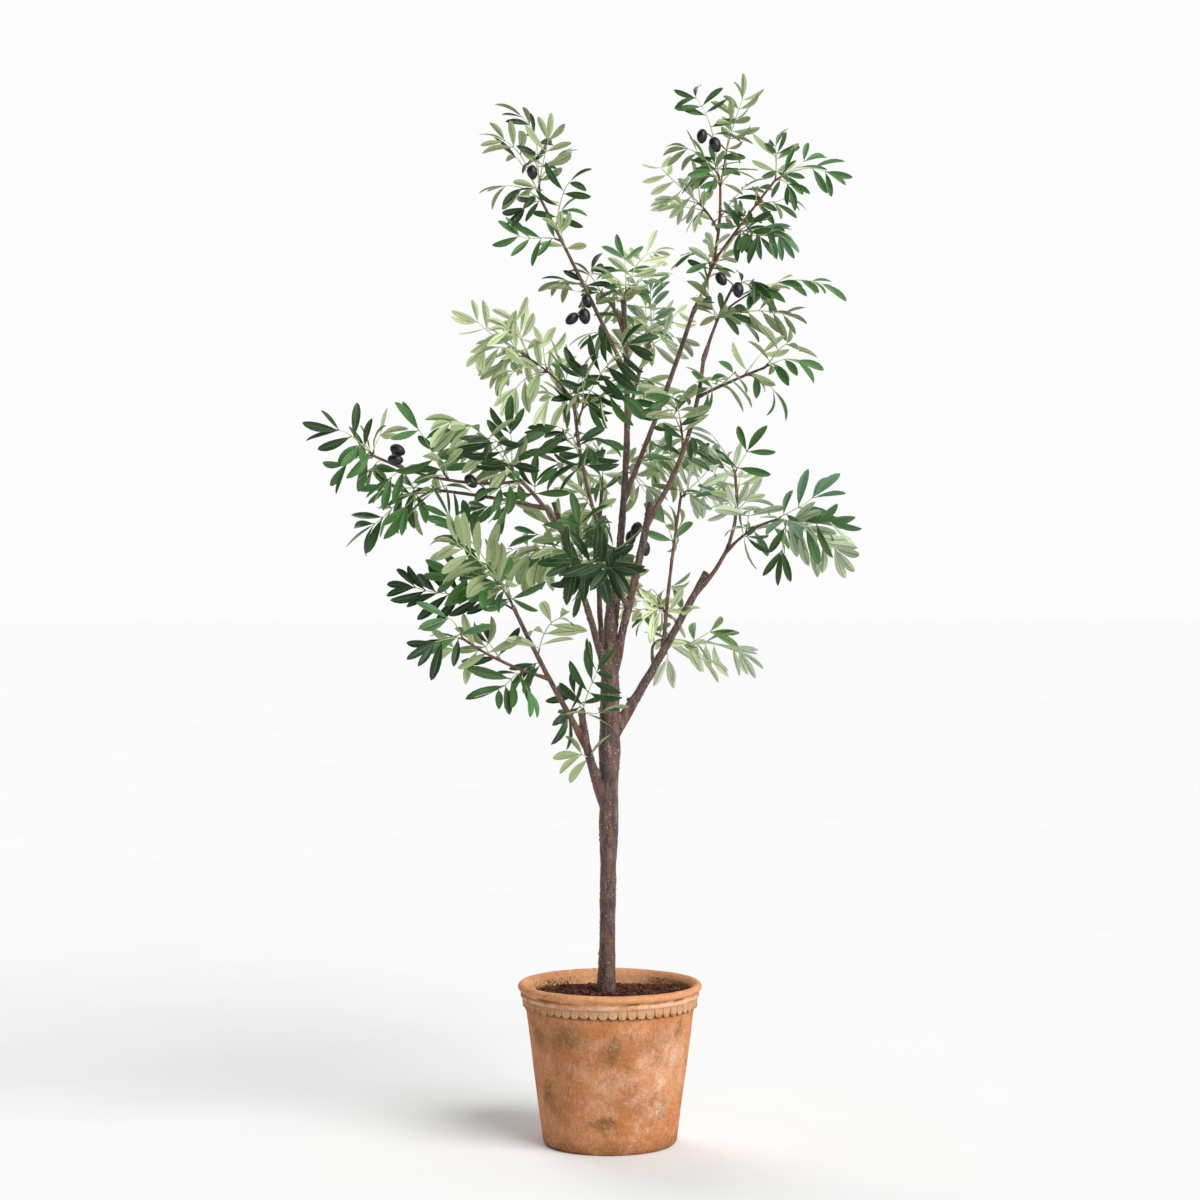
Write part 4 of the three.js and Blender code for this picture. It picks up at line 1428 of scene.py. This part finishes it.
leaf_materials = []
for tint, (top, under) in LEAF_TINTS.items():
    leaf_materials.append(leaf_cloth(f"vinyl_leaf_top_{tint}", top, 0.4, 0.32))
    leaf_materials.append(leaf_cloth(f"cloth_leaf_underside_{tint}", under, 0.7, 0.3))
leaf_materials.append(leaf_cloth("leaf_rib_top", "#456839", 0.5, 0.3))
leaf_materials.append(leaf_cloth("leaf_rib_underside", "#7d9358", 0.7, 0.3))


def leaf_piece(name, group):
    """One mesh of a region's leaves."""
    shapes, tints, places, turns = zip(*group)
    tints = np.array(tints)[:, None]
    blade, rib = 2 * tints + LEAF_KINDS, 2 * len(LEAF_TINTS) + LEAF_KINDS - RIB
    piece = copies(name, shapes, LEAF_FACES, places, turns, np.where(LEAF_KINDS < RIB, blade, rib))
    bpy.ops.object.shade_smooth_by_angle(angle=math.radians(55))
    return piece


for name, group in leaf_sets.items():
    replaced = [mass for mass in MASSES if region(mass) == name]
    finish_piece(leaf_piece(name, group), leaf_materials, replaced)

# %% [markdown]
# The stems under the leaves are pale moulded plastic, and the twigs that carry them are wire wrapped in
# brown tape. Both are tubes along the paths that the sprays grew on, the twig up to where its leaves begin.

# %% Twigs and leaf stems
STEM_RADIUS = 1.05 * MM
RUSTY_TWIGS = ["top_tip", "top_right_outer"]


def slim_tubes(name, lines):
    """Tubes so thin that six sides are enough."""
    piece = tubes(name, lines, 1)
    bpy.ops.object.shade_smooth()
    return piece


bare_lines, rusty_lines, leafy_lines = [], [], []
for spray, (path, radii, count) in zip(sprays, twig_lines):
    if count > 1:
        group = rusty_lines if spray["mass"] in RUSTY_TWIGS else bare_lines
        group.append((path[:count + 1], radii[:count + 1]))
    leafy = path[max(count - 1, 0):]
    leafy_lines.append((leafy, np.linspace(1.35 * STEM_RADIUS, 0.7 * STEM_RADIUS, len(leafy))))
twigs = slim_tubes("wrapped_twigs", bare_lines)
rusty_twigs = slim_tubes("rusty_twigs", rusty_lines)
leaf_stems = slim_tubes("leaf_stems", leafy_lines)

finish_piece(twigs, [painted_bark("taped_twig", "#5b3c2f", "#35241e", "#75503c", 0.2)])
finish_piece(rusty_twigs, [bpy.data.materials["rusty_stem_bark"]])
material, tree, shader, place = new_material("pale_moulded_stem", "#a9b27c", 0.55, 0.4)
wire(tree, shader, {"Base Color": over(tree, "#9fae76", "#c9c596", cloud(tree, place, 30, 0.4, 0.6))})
finish_piece(leaf_stems, [material])

# %% [markdown]
# The olives are black plastic, longer than wide, on short stalks. Each is a ball drawn out and pinched
# towards its end, with a dimple at the stalk.

# %% Olives
STALK_RADIUS = 1.25 * MM
STALK_POINTS = 8
# How far above the middle of a cluster its knot is looked for, and how much a stalk arches.
KNOT_RISE = 16 * MM
STALK_ARCH = 4 * MM
rng_olives = random.Random(8)


def olive_body(place, normal):
    """A ball drawn out along its height, fuller above the middle, dimpled at the top."""
    share = place.z
    width = OLIVE_WIDTH / 2 * (1 + 0.07 * share) * (1 - 0.05 * share ** 2)
    dimple = 1.1 * MM * max(0.0, share - 0.9) * 10
    return Vector((place.x * width, place.y * width, share * OLIVE_LENGTH / 2 - dimple))


bpy.ops.object.select_all(action="DESELECT")
bpy.ops.mesh.primitive_uv_sphere_add(segments=20, ring_count=14, radius=1)
olive = start_piece("olive_pattern")
move_points(olive, olive_body)
fruit, stalk_lines = [], []
bare_twigs = [path[:count + 1] for path, radii, count in twig_lines if count > 1]
wood = np.vstack([*limb_lines.values(), *bare_twigs])
for cluster in OLIVES:
    middles = np.array(cluster)[:, :3] * MM
    knot = wood[np.linalg.norm(wood - middles.mean(axis=0) - (0, 0, KNOT_RISE), axis=1).argmin()]
    for middle, lean in zip(middles, np.radians(np.array(cluster)[:, 3])):
        copy = copy_of(olive)
        away = unit(np.array([math.sin(lean), -0.3, -math.cos(lean)]))
        copy.location = middle
        copy.rotation_euler = Vector(-away).to_track_quat("Z", "Y").to_euler()
        copy.scale = [rng_olives.uniform(0.94, 1.06)] * 3
        fruit.append(copy)
        top = middle - away * OLIVE_LENGTH * 0.42
        bend = (knot + top) / 2 + np.array([0, 0, STALK_ARCH])
        steps = np.linspace(0, 1, STALK_POINTS)[:, None]
        stalk = (1 - steps) ** 2 * knot + 2 * (1 - steps) * steps * bend + steps ** 2 * top
        stalk_lines.append((stalk, np.full(STALK_POINTS, STALK_RADIUS)))
        print("olive stalk:", round(np.linalg.norm(top - knot) / MM), "mm")
bpy.data.objects.remove(olive)
olives = join("black_olives", fruit)
apply_all(olives)
bpy.ops.object.shade_smooth()
stalks = slim_tubes("olive_stalks", stalk_lines)

material, tree, shader, place = new_material("black_olive_skin", "#161518", 0.34, 0.5)
skin = over(tree, "#121114", "#2b2630", cloud(tree, place, 14, 0.45, 0.7, 5, 0.6))
pores = relief(tree, (cloud(tree, place, 2.5, 0.3, 0.7, 4, 0.6), 0.18))
wire(tree, shader, {"Base Color": skin, "Normal": pores})
finish_piece(olives, [material])
finish_piece(stalks, [bpy.data.materials["taped_twig"]])
